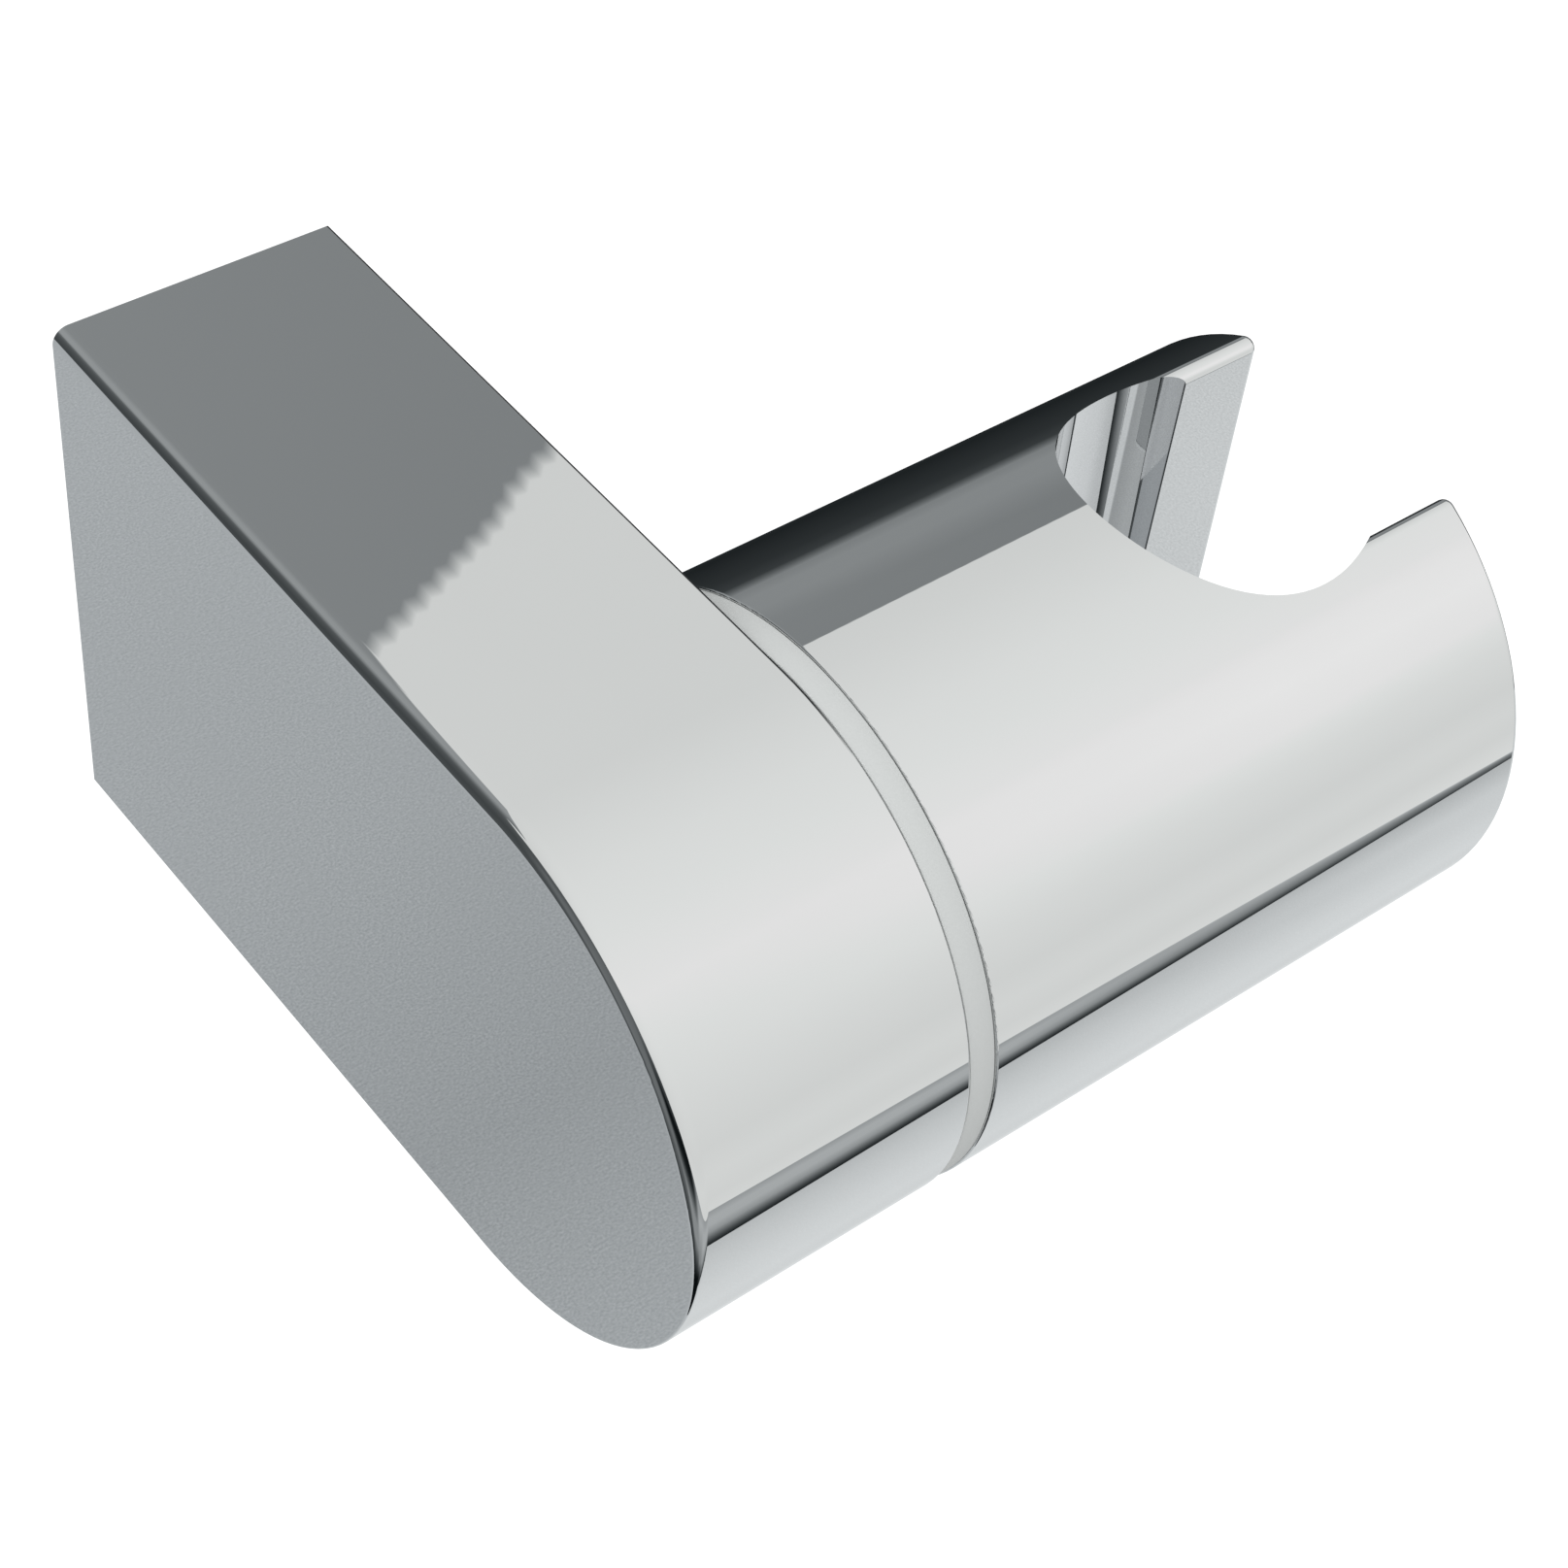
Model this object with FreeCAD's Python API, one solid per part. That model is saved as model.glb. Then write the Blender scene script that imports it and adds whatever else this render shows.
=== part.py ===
import FreeCAD, Part
import math
import os

# Hand shower holder for a wall: a hollow base with a round front, and beside it a
# round cradle that turns about one horizontal pivot and takes the cone nut of the hose.
# Millimetres. X runs along the pivot, Y points into the wall, Z is up.
# The origin is the middle of the base where it meets the wall.

# Overall form
body_r = 21.0
pivot_reach = 49.3
base_width = 20.6
pivot_gap = 2.1
cradle_length = 46.25
base_side_fillet = 1.2
side_fade_angles = (150, 196)
machined_edge = 0.15

# Seat and slot in the cradle
seat_inset = 12.5
seat_top_r = 10.65
seat_bottom_r = 10.2
slot_width = 17.8
slot_fillet = 0.8
cradle_end_fillet = 0.55

# Base housing
housing_wall = 2.4
cavity_fillet = 1.0
boss_r = 11.2
boss_rib = 1.6
rib_step_back = 0.8
rib_angles = (0, 60, 120, 240, 300)

# Fits and clearances
running_fit = 0.05
press_fit = 0.02
loose_fit = 0.1
cut_past = 1.0

# Pivot stack, listed from the end of the shaft towards the cradle
shaft_end_clearance = 0.65
shaft_thread_showing = 0.6
nut_height = 6.0
nut_flats = 10.0
thread_r = 3.0
flat_washer_thickness = 1.2
spring_thickness = 0.6
spring_rise = 0.35
spring_r = 8.0
thrust_washer_thickness = 1.0
inner_disc_thickness = 1.0
inner_disc_r = 10.4
shaft_r = 5.0
shaft_key_r = 4.0
shaft_key_flats = 6.4
shaft_shoulder_step = 0.33
shaft_point = 0.75
bush_wall = 1.5
shaft_head_r = 8.0
shaft_head_flats = 13.0
shaft_head_thickness = 3.8

# Nylon ring in the lock nut
nut_ring_height = 1.4
nut_ring_wall = 0.85
nut_ring_inset = 0.35

# Cradle hub, let into the cradle's inner end
hub_rim = 4.0
hub_thickness = 6.6
hub_screw_count = 3
hub_screw_r = 2.0
hub_screw_length = 14.0
screw_head_r = 3.75
tap_drill_past = 1.0
socket_flats = 2.5
socket_depth = 1.5
seal_width = 2.4
seal_edge = 0.6
seal_mean_r = 7.0
seal_groove_depth = 0.45

# Friction ring between base and cradle
ring_shrink = 0.3
ring_shadow_gap = 0.3
ring_cradle_gap = 0.1
ring_bore_r = 12.5
ring_edge = 0.2
ring_spigot_inset = 3.0
ring_spigot_width = 3.0
ring_spigot_depth = 0.9

# Wall plate, folded from sheet, with its pad, levelling bushes, nut and locking screw
pad_thickness = 0.8
sheet = 2.0
bend_inner_r = 1.0
plate_side_gap = 0.9
pad_side_gap = 0.5
plate_end_gap = 1.7
hook_rib_y = 3.4
hook_rib_width = 2.0
hook_play = 0.3
hook_lip_gap = 0.4
wall_screw_spacing = 17.0
wall_screw_hole_r = 2.5
screw_bush_r = 4.6
screw_bush_offset = 1.0
screw_bush_flange = 0.9
screw_bush_flange_thickness = 1.0
pad_hole_gap = 0.3
lock_y = 8.0
lock_flange_past = 5.0
lock_screw_r = 2.0
lock_screw_length = 10.0
lock_boss_r = 5.2
lock_head_sink = 0.15
clinch_nut_r = 3.6
clinch_nut_height = 3.0
clinch_shank_r = 2.8

# Places along the pivot, worked out from the sizes above
base_x0 = -base_width / 2
base_x1 = base_width / 2
cradle_x0 = base_x1 + pivot_gap
cradle_x1 = cradle_x0 + cradle_length
seat_x = cradle_x1 - seat_inset
pivot_y = -pivot_reach
cavity_x0 = base_x0 + housing_wall
cavity_x1 = base_x1 - housing_wall
cavity_r = body_r - housing_wall

shaft_end_x = cavity_x0 + shaft_end_clearance
nut_x0 = shaft_end_x + shaft_thread_showing
washer_x0 = nut_x0 + nut_height
spring_height = spring_thickness + spring_rise
outer_spring_x0 = washer_x0 + flat_washer_thickness
inner_spring_x0 = outer_spring_x0 + spring_height
thrust_x0 = inner_spring_x0 + spring_height
thrust_x1 = thrust_x0 + thrust_washer_thickness
inner_disc_x0 = thrust_x1 + running_fit
boss_x0 = inner_disc_x0 + inner_disc_thickness
hub_x1 = cradle_x0 + hub_thickness
shaft_head_x0 = hub_x1 - shaft_head_thickness - loose_fit
shaft_shoulder_x = inner_disc_x0 + shaft_shoulder_step

bush_bore_r = shaft_r + running_fit
bush_r = bush_bore_r + bush_wall
hub_r = body_r - hub_rim
seal_groove_half = seal_width / 2 + loose_fit
seal_x0 = base_x1 + loose_fit
seal_x1 = seal_x0 + seal_width
hub_screw_circle = (seal_mean_r + seal_groove_half + hub_r) / 2
countersink = screw_head_r - hub_screw_r

plate_back_y = -pad_thickness
plate_front_y = plate_back_y - sheet
plate_half = cavity_r - plate_end_gap
plate_x = (cavity_x1 - cavity_x0) / 2 - plate_side_gap
pad_x = (cavity_x1 - cavity_x0) / 2 - pad_side_gap
lock_head_z = -body_r + lock_head_sink
screw_bush_spacing = wall_screw_spacing - 2 * screw_bush_offset


def vec(x, y, z):
    return FreeCAD.Vector(x, y, z)


def pin(radius, x0, x1):
    """Round bar about the pivot axis."""
    return Part.makeCylinder(radius, x1 - x0, vec(x0, pivot_y, 0), vec(1, 0, 0))


def tube(outer_r, inner_r, x0, x1):
    """Plain ring about the pivot axis."""
    return pin(outer_r, x0, x1).cut(pin(inner_r, x0 - cut_past, x1 + cut_past))


def turned(outline):
    """Turned form about the pivot axis, from its half section given as (x, radius)."""
    corners = [vec(x, pivot_y + r, 0) for x, r in outline]
    face = Part.Face(Part.makePolygon(corners + corners[:1]))
    return face.revolve(vec(0, pivot_y, 0), vec(1, 0, 0), 360)


def upright_pin(radius, x, y, z0, z1):
    """Round bar along Z."""
    return Part.makeCylinder(radius, z1 - z0, vec(x, y, z0), vec(0, 0, 1))


def block(x0, x1, y0, y1, z0, z1):
    return Part.makeBox(x1 - x0, y1 - y0, z1 - z0, vec(x0, y0, z0))


def hexagon_bar(flats, start, direction, length, first_corner):
    """Six-sided bar from a start point, its first corner turned towards first_corner."""
    corner_r = flats / math.sqrt(3)
    corner = first_corner.normalize() * corner_r
    corners = []
    for step in range(6):
        turn = FreeCAD.Rotation(direction, 60 * step)
        corners.append(start + turn.multVec(corner))
    face = Part.Face(Part.makePolygon(corners + corners[:1]))
    return face.extrude(direction * length)


def two_flats(shape, flats, x0, x1, reach):
    """Keeps the middle of a round bar between two flats that face up and down."""
    return shape.common(block(x0, x1, pivot_y - reach, pivot_y + reach, -flats / 2, flats / 2))


def nose_point(x, radius, angle):
    """Point on the round front. The angle is 90 at the top, 180 in front and 270 below."""
    turn = math.radians(angle)
    return vec(x, pivot_y + radius * math.cos(turn), radius * math.sin(turn))


def round_front_prism(x0, x1, radius, back_y, nose_breaks=()):
    """Prism along X: flat at the back, level above and below, and half round in front.

    The round of the nose is divided into one edge more than there are angles in nose_breaks.
    """
    top_back = vec(x0, back_y, radius)
    low_back = vec(x0, back_y, -radius)
    angles = [90, *nose_breaks, 270]
    edges = [Part.LineSegment(top_back, nose_point(x0, radius, 90)).toShape()]
    for start, end in zip(angles, angles[1:]):
        middle = (start + end) / 2
        arc = Part.Arc(*(nose_point(x0, radius, angle) for angle in (start, middle, end)))
        edges.append(arc.toShape())
    edges.append(Part.LineSegment(nose_point(x0, radius, 270), low_back).toShape())
    edges.append(Part.LineSegment(low_back, top_back).toShape())
    return Part.Face(Part.Wire(edges)).extrude(vec(x1 - x0, 0, 0))


def side_outline(shape, x, back_y):
    """Edges in the plane at x, apart from the straight one at the back."""
    found = []
    for edge in shape.Edges:
        box = edge.BoundBox
        if abs(box.XMin - x) > 1e-4 or abs(box.XMax - x) > 1e-4:
            continue
        if abs(box.YMin - back_y) < 1e-4:
            continue
        found.append(edge)
    return found


def side_radius(point):
    """Rounding at a point of the base's outer side: full above the fade and fine below it."""
    fade_z = nose_point(base_x0, body_r, side_fade_angles[0]).z
    return base_side_fillet if point.z > fade_z - 1e-4 else machined_edge


def round_outer_side(shape):
    """Rounds the base's outer side, with the rounding fading away down the nose."""
    rim = side_outline(shape, base_x0, 0)
    radii = []
    for number, edge in enumerate(shape.Edges, 1):
        if any(edge.isSame(one) for one in rim):
            ends = [edge.valueAt(edge.FirstParameter), edge.valueAt(edge.LastParameter)]
            radii.append((number, side_radius(ends[0]), side_radius(ends[1])))
    document = FreeCAD.newDocument("rounding")
    solid = document.addObject("Part::Feature", "solid")
    solid.Shape = shape
    rounded = document.addObject("Part::Fillet", "rounded")
    rounded.Base = solid
    rounded.Edges = radii
    document.recompute()
    result = rounded.Shape.copy()
    FreeCAD.closeDocument(document.Name)
    return result


def keep(name, shape):
    """Writes one sub-part."""
    shape = shape.removeSplitter()
    shape.exportStep(os.path.join("parts", name + ".step"))


# Base

def housing_ribs(cavity):
    """Ribs that tie the pivot boss to the walls round it. None points at the open back."""
    past_the_walls = 2 * body_r
    ribs = []
    for angle in rib_angles:
        rib = block(boss_x0 + rib_step_back, cavity_x1, pivot_y - past_the_walls, pivot_y,
                    -boss_rib / 2, boss_rib / 2)
        rib.rotate(vec(0, pivot_y, 0), vec(1, 0, 0), angle)
        ribs.append(rib.common(cavity))
    return ribs


def base_housing():
    """Cast shell, open towards the wall, with the pivot boss on its cradle side."""
    outside = round_front_prism(base_x0, base_x1, body_r, 0, side_fade_angles)
    outside = outside.makeFillet(machined_edge, side_outline(outside, base_x1, 0))
    outside = round_outer_side(outside)
    cavity = round_front_prism(cavity_x0, cavity_x1, cavity_r, cut_past)
    cavity_edges = side_outline(cavity, cavity_x0, cut_past)
    rounded_cavity = cavity.makeFillet(cavity_fillet, cavity_edges)
    body = outside.cut(rounded_cavity)

    boss = pin(boss_r, boss_x0, cavity_x1)
    hook_rib = block(cavity_x0, cavity_x1, -hook_rib_y - hook_rib_width, -hook_rib_y,
                     plate_half + loose_fit, cavity_r)
    lock_boss = upright_pin(lock_boss_r, 0, -lock_y, -cavity_r, -plate_half - loose_fit)
    body = body.multiFuse([boss, hook_rib, lock_boss] + housing_ribs(cavity))

    bush_hole = pin(bush_r + press_fit, boss_x0 - cut_past, base_x1 + cut_past)
    spigot_outer = body_r - ring_spigot_inset + loose_fit
    spigot_inner = body_r - ring_spigot_inset - ring_spigot_width - loose_fit
    groove = tube(spigot_outer, spigot_inner, base_x1 - ring_spigot_depth, base_x1 + cut_past)
    screw_way = upright_pin(lock_screw_r + loose_fit, 0, -lock_y, -body_r - cut_past,
                            -plate_half + cut_past)
    return body.cut([bush_hole, groove, screw_way, lock_head_form(loose_fit)])


def lock_head_form(grow):
    """Countersunk head of the locking screw, or the hole for it when grown by a clearance."""
    wide = screw_head_r + grow
    narrow = lock_screw_r + grow
    head = Part.makeCone(wide, narrow, countersink, vec(0, -lock_y, lock_head_z), vec(0, 0, 1))
    if grow == 0:
        return head
    return head.fuse(upright_pin(wide, 0, -lock_y, -body_r - cut_past, lock_head_z))


def pivot_bush():
    return tube(bush_r, bush_bore_r, boss_x0, base_x1)


def inner_friction_disc():
    return tube(inner_disc_r, shaft_r + loose_fit, inner_disc_x0, boss_x0)


def friction_ring():
    """Grey ring that keeps base and cradle apart, with a spigot let into the base."""
    ring_r = body_r - ring_shrink
    spigot_outer = body_r - ring_spigot_inset
    spigot_inner = spigot_outer - ring_spigot_width
    near_x = base_x1 + ring_shadow_gap
    far_x = cradle_x0 - ring_cradle_gap
    spigot_x = base_x1 - ring_spigot_depth + running_fit
    return turned([
        (base_x1, ring_bore_r),
        (far_x, ring_bore_r),
        (far_x, ring_r - ring_edge),
        (far_x - ring_edge, ring_r),
        (near_x + ring_edge, ring_r),
        (near_x, ring_r - ring_edge),
        (near_x, spigot_outer),
        (spigot_x, spigot_outer),
        (spigot_x, spigot_inner),
        (base_x1, spigot_inner),
    ])


# Wall fixing

def fixing_pins(radius, y0, y1, spacing):
    """A pair of round bars along Y, one above the other."""
    return [
        Part.makeCylinder(radius, y1 - y0, vec(0, y0, side * spacing / 2), vec(0, 1, 0))
        for side in (-1, 1)
    ]


def bend_edges(shape, y, z):
    """Edges along X at one corner of the folded section."""
    found = []
    for edge in shape.Edges:
        box = edge.BoundBox
        along_x = box.XMax - box.XMin > plate_x
        if along_x and abs(box.YMin - y) < 1e-4 and abs(box.ZMin - z) < 1e-4:
            found.append(edge)
    return found


def wall_plate():
    """Folded sheet: an upright back, a hook above and a flange for the locking screw below."""
    lip_back = -hook_rib_y - hook_rib_width - hook_play
    lip_front = lip_back - sheet
    lip_top = cavity_r - hook_lip_gap
    flange_front = -lock_y - lock_flange_past
    inner_half = plate_half - sheet
    outline = [
        (plate_back_y, -plate_half),
        (plate_back_y, plate_half),
        (lip_back, plate_half),
        (lip_back, lip_top),
        (lip_front, lip_top),
        (lip_front, inner_half),
        (plate_front_y, inner_half),
        (plate_front_y, -inner_half),
        (flange_front, -inner_half),
        (flange_front, -plate_half),
    ]
    corners = [vec(-plate_x, y, z) for y, z in outline]
    plate = Part.Face(Part.makePolygon(corners + corners[:1])).extrude(vec(2 * plate_x, 0, 0))
    outer_bend_r = bend_inner_r + sheet
    inner_bends = bend_edges(plate, plate_front_y, inner_half)
    inner_bends += bend_edges(plate, plate_front_y, -inner_half)
    plate = plate.makeFillet(bend_inner_r, inner_bends)
    outer_bends = bend_edges(plate, plate_back_y, plate_half)
    outer_bends += bend_edges(plate, plate_back_y, -plate_half)
    plate = plate.makeFillet(outer_bend_r, outer_bends)
    nut_hole = upright_pin(clinch_shank_r + press_fit, 0, -lock_y, -plate_half - cut_past,
                           -inner_half + cut_past)
    bush_holes = fixing_pins(screw_bush_r + running_fit, plate_front_y - cut_past,
                             plate_back_y + cut_past, screw_bush_spacing)
    return plate.cut([nut_hole] + bush_holes)


def wall_pad():
    """Soft pad between the wall plate and the tiles."""
    pad_half = cavity_r - pad_side_gap
    pad = block(-pad_x, pad_x, -pad_thickness, 0, -pad_half, pad_half)
    return pad.cut(fixing_pins(wall_screw_hole_r + pad_hole_gap, -pad_thickness - cut_past,
                               cut_past, wall_screw_spacing))


def screw_bushes():
    """Two eccentric bushes. Turning one in the plate shifts its wall screw and levels the plate."""
    flange_front = plate_front_y - screw_bush_flange_thickness
    bodies = fixing_pins(screw_bush_r, plate_front_y, plate_back_y, screw_bush_spacing)
    flanges = fixing_pins(screw_bush_r + screw_bush_flange, flange_front, plate_front_y,
                          screw_bush_spacing)
    holes = fixing_pins(wall_screw_hole_r, flange_front - cut_past, plate_back_y + cut_past,
                        wall_screw_spacing)
    bushes = [body.fuse(flange).cut(holes) for body, flange in zip(bodies, flanges)]
    return Part.makeCompound(bushes)


def clinch_nut():
    """Round nut pressed into the plate's lower flange."""
    inner_half = plate_half - sheet
    body = upright_pin(clinch_nut_r, 0, -lock_y, -inner_half, -inner_half + clinch_nut_height)
    shank = upright_pin(clinch_shank_r, 0, -lock_y, -plate_half, -inner_half)
    bore = upright_pin(lock_screw_r + running_fit, 0, -lock_y, -plate_half - cut_past,
                       -inner_half + clinch_nut_height + cut_past)
    return body.fuse(shank).cut(bore)


def lock_screw():
    """Countersunk screw that holds the housing down on the wall plate."""
    head = lock_head_form(0)
    shank = upright_pin(lock_screw_r, 0, -lock_y, lock_head_z, lock_head_z + lock_screw_length)
    socket = hexagon_bar(socket_flats, vec(0, -lock_y, lock_head_z - cut_past), vec(0, 0, 1),
                         socket_depth + cut_past, vec(1, 0, 0))
    return head.fuse(shank).cut(socket)


# Pivot stack, which turns with the cradle

def pivot_shaft():
    """Shaft with a flatted head in the hub, a keyed neck and a threaded end."""
    thread_x1 = outer_spring_x0
    head = pin(shaft_head_r, shaft_head_x0, shaft_head_x0 + shaft_head_thickness)
    head = two_flats(head, shaft_head_flats, shaft_head_x0 - cut_past, hub_x1 + cut_past,
                     shaft_head_r + cut_past)
    journal = pin(shaft_r, shaft_shoulder_x, shaft_head_x0)
    neck = two_flats(pin(shaft_key_r, thread_x1, shaft_shoulder_x), shaft_key_flats,
                     thread_x1 - cut_past, shaft_shoulder_x + cut_past, shaft_r + cut_past)
    thread = turned([
        (shaft_end_x, 0),
        (shaft_end_x, thread_r - shaft_point),
        (shaft_end_x + shaft_point, thread_r),
        (thread_x1, thread_r),
        (thread_x1, 0),
    ])
    return head.multiFuse([journal, neck, thread])


def keyed_hole(x0, x1):
    """Hole that fits the shaft's keyed neck."""
    reach = shaft_r + cut_past
    return two_flats(pin(shaft_key_r + running_fit, x0, x1), shaft_key_flats + 2 * running_fit,
                     x0 - cut_past, x1 + cut_past, reach)


def thrust_washer():
    blank = pin(spring_r + loose_fit, thrust_x0, thrust_x1)
    return blank.cut(keyed_hole(thrust_x0 - cut_past, thrust_x1 + cut_past))


def disc_spring(x0, cone_towards_nut):
    """Conical spring washer. Its high edge is its bore or its rim."""
    bore_r = shaft_key_r + loose_fit
    bore_shift = 0 if cone_towards_nut else spring_rise
    rim_shift = spring_rise - bore_shift
    return turned([
        (x0 + bore_shift, bore_r),
        (x0 + rim_shift, spring_r),
        (x0 + rim_shift + spring_thickness, spring_r),
        (x0 + bore_shift + spring_thickness, bore_r),
    ])


def flat_washer():
    return tube(spring_r, thread_r + loose_fit, washer_x0, outer_spring_x0)


def lock_nut():
    """Hexagon nut with rounded corners and a recess for its nylon ring."""
    bar = hexagon_bar(nut_flats, vec(nut_x0, pivot_y, 0), vec(1, 0, 0), nut_height, vec(0, 0, 1))
    corner_r = nut_flats / math.sqrt(3)
    slope = (corner_r - nut_flats / 2) * math.tan(math.radians(30))
    envelope = turned([
        (nut_x0, 0),
        (nut_x0, nut_flats / 2),
        (nut_x0 + slope, corner_r),
        (washer_x0 - slope, corner_r),
        (washer_x0, nut_flats / 2),
        (washer_x0, 0),
    ])
    bore = pin(thread_r + running_fit, nut_x0 - cut_past, washer_x0 + cut_past)
    ring_seat = pin(thread_r + nut_ring_wall + press_fit, nut_x0 + nut_ring_inset,
                    nut_x0 + nut_ring_inset + nut_ring_height)
    return bar.common(envelope).cut([bore, ring_seat])


def nut_ring():
    x0 = nut_x0 + nut_ring_inset
    return tube(thread_r + nut_ring_wall, thread_r + running_fit, x0, x0 + nut_ring_height)


# Cradle

def hub_screw_places():
    """Middles of the hub screws as (y, z), the first straight above the pivot."""
    places = []
    for step in range(hub_screw_count):
        turn = math.radians(90 + 360 * step / hub_screw_count)
        y = pivot_y + hub_screw_circle * math.cos(turn)
        z = hub_screw_circle * math.sin(turn)
        places.append((y, z))
    return places


def hub_screw_form(y, z, grow):
    """Countersunk hub screw, or its hole when grown by a clearance."""
    x0 = cradle_x0 + ring_cradle_gap
    along = vec(1, 0, 0)
    head = Part.makeCone(screw_head_r + grow, hub_screw_r + grow, countersink, vec(x0, y, z), along)
    shank = Part.makeCylinder(hub_screw_r + grow, hub_screw_length + grow, vec(x0, y, z), along)
    screw = head.fuse(shank)
    if grow > 0:
        mouth = Part.makeCylinder(screw_head_r + grow, cut_past, vec(x0, y, z), -along)
        return screw.fuse(mouth)
    socket = hexagon_bar(socket_flats, vec(x0 - cut_past, y, z), along,
                         socket_depth + cut_past, vec(0, 0, 1))
    return screw.cut(socket)


def hub_screws():
    return Part.makeCompound([hub_screw_form(y, z, 0) for y, z in hub_screw_places()])


def cradle_hub():
    """Round plug in the cradle's inner end. It holds the shaft's head and the seal."""
    hub = pin(hub_r - press_fit, cradle_x0, hub_x1)
    shaft_hole = pin(shaft_r + press_fit, cradle_x0 - cut_past, hub_x1)
    seat_x0 = shaft_head_x0 - running_fit
    head_seat = two_flats(pin(shaft_head_r + loose_fit, seat_x0, hub_x1 + cut_past),
                          shaft_head_flats + 2 * loose_fit, seat_x0 - cut_past,
                          hub_x1 + 2 * cut_past, shaft_head_r + cut_past)
    groove = tube(seal_mean_r + seal_groove_half, seal_mean_r - seal_groove_half,
                  cradle_x0 - cut_past, cradle_x0 + seal_groove_depth)
    holes = [hub_screw_form(y, z, loose_fit) for y, z in hub_screw_places()]
    return hub.cut([shaft_hole, head_seat, groove] + holes)


def pivot_seal():
    """Rubber ring between hub and base, with bevelled edges."""
    inner_r = seal_mean_r - seal_width / 2
    outer_r = seal_mean_r + seal_width / 2
    return turned([
        (seal_x0, inner_r + seal_edge),
        (seal_x0, outer_r - seal_edge),
        (seal_x0 + seal_edge, outer_r),
        (seal_x1 - seal_edge, outer_r),
        (seal_x1, outer_r - seal_edge),
        (seal_x1, inner_r + seal_edge),
        (seal_x1 - seal_edge, inner_r),
        (seal_x0 + seal_edge, inner_r),
    ])


def edges_along_x(shape):
    return [e for e in shape.Edges if e.BoundBox.YLength < 1e-4 and e.BoundBox.ZLength < 1e-4]


def edges_in_plane(shape, x):
    """Edges that lie in the plane at x."""
    return [e for e in shape.Edges if abs(e.BoundBox.XMin - x) + abs(e.BoundBox.XMax - x) < 1e-4]


def prong(side):
    """One side of the fork beyond the seat, with its slot edges and free end rounded over."""
    bar = pin(body_r, seat_x, cradle_x1)
    slot_wall = pivot_y + side * slot_width / 2
    far_side = pivot_y + side * (body_r + cut_past)
    keep_side = block(seat_x, cradle_x1, min(slot_wall, far_side), max(slot_wall, far_side),
                      -body_r - cut_past, body_r + cut_past)
    bar = bar.common(keep_side)
    slot_edges = [e for e in edges_along_x(bar) if abs(e.BoundBox.YMin - slot_wall) < 1e-4]
    bar = bar.makeFillet(slot_fillet, slot_edges)
    return bar.makeFillet(cradle_end_fillet, edges_in_plane(bar, cradle_x1))


def cradle_body():
    """Bar with a tapered seat through it and a slot that lets the hose in from the free end."""
    root = pin(body_r, cradle_x0, seat_x)
    root = root.makeFillet(machined_edge, edges_in_plane(root, cradle_x0))
    fork = root.multiFuse([prong(-1), prong(1)])
    seat = Part.makeCone(seat_bottom_r, seat_top_r, 2 * body_r, vec(seat_x, pivot_y, -body_r),
                         vec(0, 0, 1))
    hub_pocket = pin(hub_r, cradle_x0 - cut_past, hub_x1)
    cutters = [seat, hub_pocket]
    for y, z in hub_screw_places():
        depth = hub_screw_length - hub_thickness + tap_drill_past
        cutters.append(Part.makeCylinder(hub_screw_r + running_fit, depth, vec(hub_x1, y, z),
                                         vec(1, 0, 0)))
    return fork.cut(cutters)


def build():
    os.makedirs("parts", exist_ok=True)
    keep("base_housing", base_housing())
    keep("pivot_bush", pivot_bush())
    keep("inner_friction_disc", inner_friction_disc())
    keep("friction_ring", friction_ring())
    keep("wall_plate", wall_plate())
    keep("wall_pad", wall_pad())
    keep("screw_bushes", screw_bushes())
    keep("clinch_nut", clinch_nut())
    keep("lock_screw", lock_screw())
    keep("pivot_shaft", pivot_shaft())
    keep("thrust_washer", thrust_washer())
    keep("disc_spring_inner", disc_spring(inner_spring_x0, False))
    keep("disc_spring_outer", disc_spring(outer_spring_x0, True))
    keep("flat_washer", flat_washer())
    keep("lock_nut", lock_nut())
    keep("nut_ring", nut_ring())
    keep("cradle_hub", cradle_hub())
    keep("hub_screws", hub_screws())
    keep("pivot_seal", pivot_seal())
    keep("cradle_body", cradle_body())


build()
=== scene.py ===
"""Chrome shower holder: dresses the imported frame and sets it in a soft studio."""

import logging
import math
from dataclasses import dataclass, field
from enum import Enum
from functools import cache
from typing import Any, Callable, Sequence

import bmesh
import bpy
import numpy as np
from bpy.types import ID, Material, Mesh, Node, NodeSocket, NodeTree, Object
from mathutils import Matrix, Vector


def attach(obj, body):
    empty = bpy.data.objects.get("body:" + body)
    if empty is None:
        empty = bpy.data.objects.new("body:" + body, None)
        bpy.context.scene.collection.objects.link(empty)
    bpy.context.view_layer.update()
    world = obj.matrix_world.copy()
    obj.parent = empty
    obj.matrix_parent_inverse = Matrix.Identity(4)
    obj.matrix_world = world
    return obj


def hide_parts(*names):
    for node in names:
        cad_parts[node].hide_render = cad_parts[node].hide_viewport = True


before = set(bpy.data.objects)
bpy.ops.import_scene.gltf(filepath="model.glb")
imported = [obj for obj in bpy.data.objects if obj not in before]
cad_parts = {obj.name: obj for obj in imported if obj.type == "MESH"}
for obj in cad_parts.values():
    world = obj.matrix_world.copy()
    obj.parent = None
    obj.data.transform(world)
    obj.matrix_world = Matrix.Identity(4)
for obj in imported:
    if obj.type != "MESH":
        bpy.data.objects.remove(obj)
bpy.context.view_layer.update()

LOG = logging.getLogger("shower_holder")
MM = 0.001
DEGREES = 180 / math.pi
Triple = tuple[float, float, float]
Span = tuple[float, float]
Stops = tuple[Span, ...]
WHITE: Triple = (1.0, 1.0, 1.0)
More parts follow.
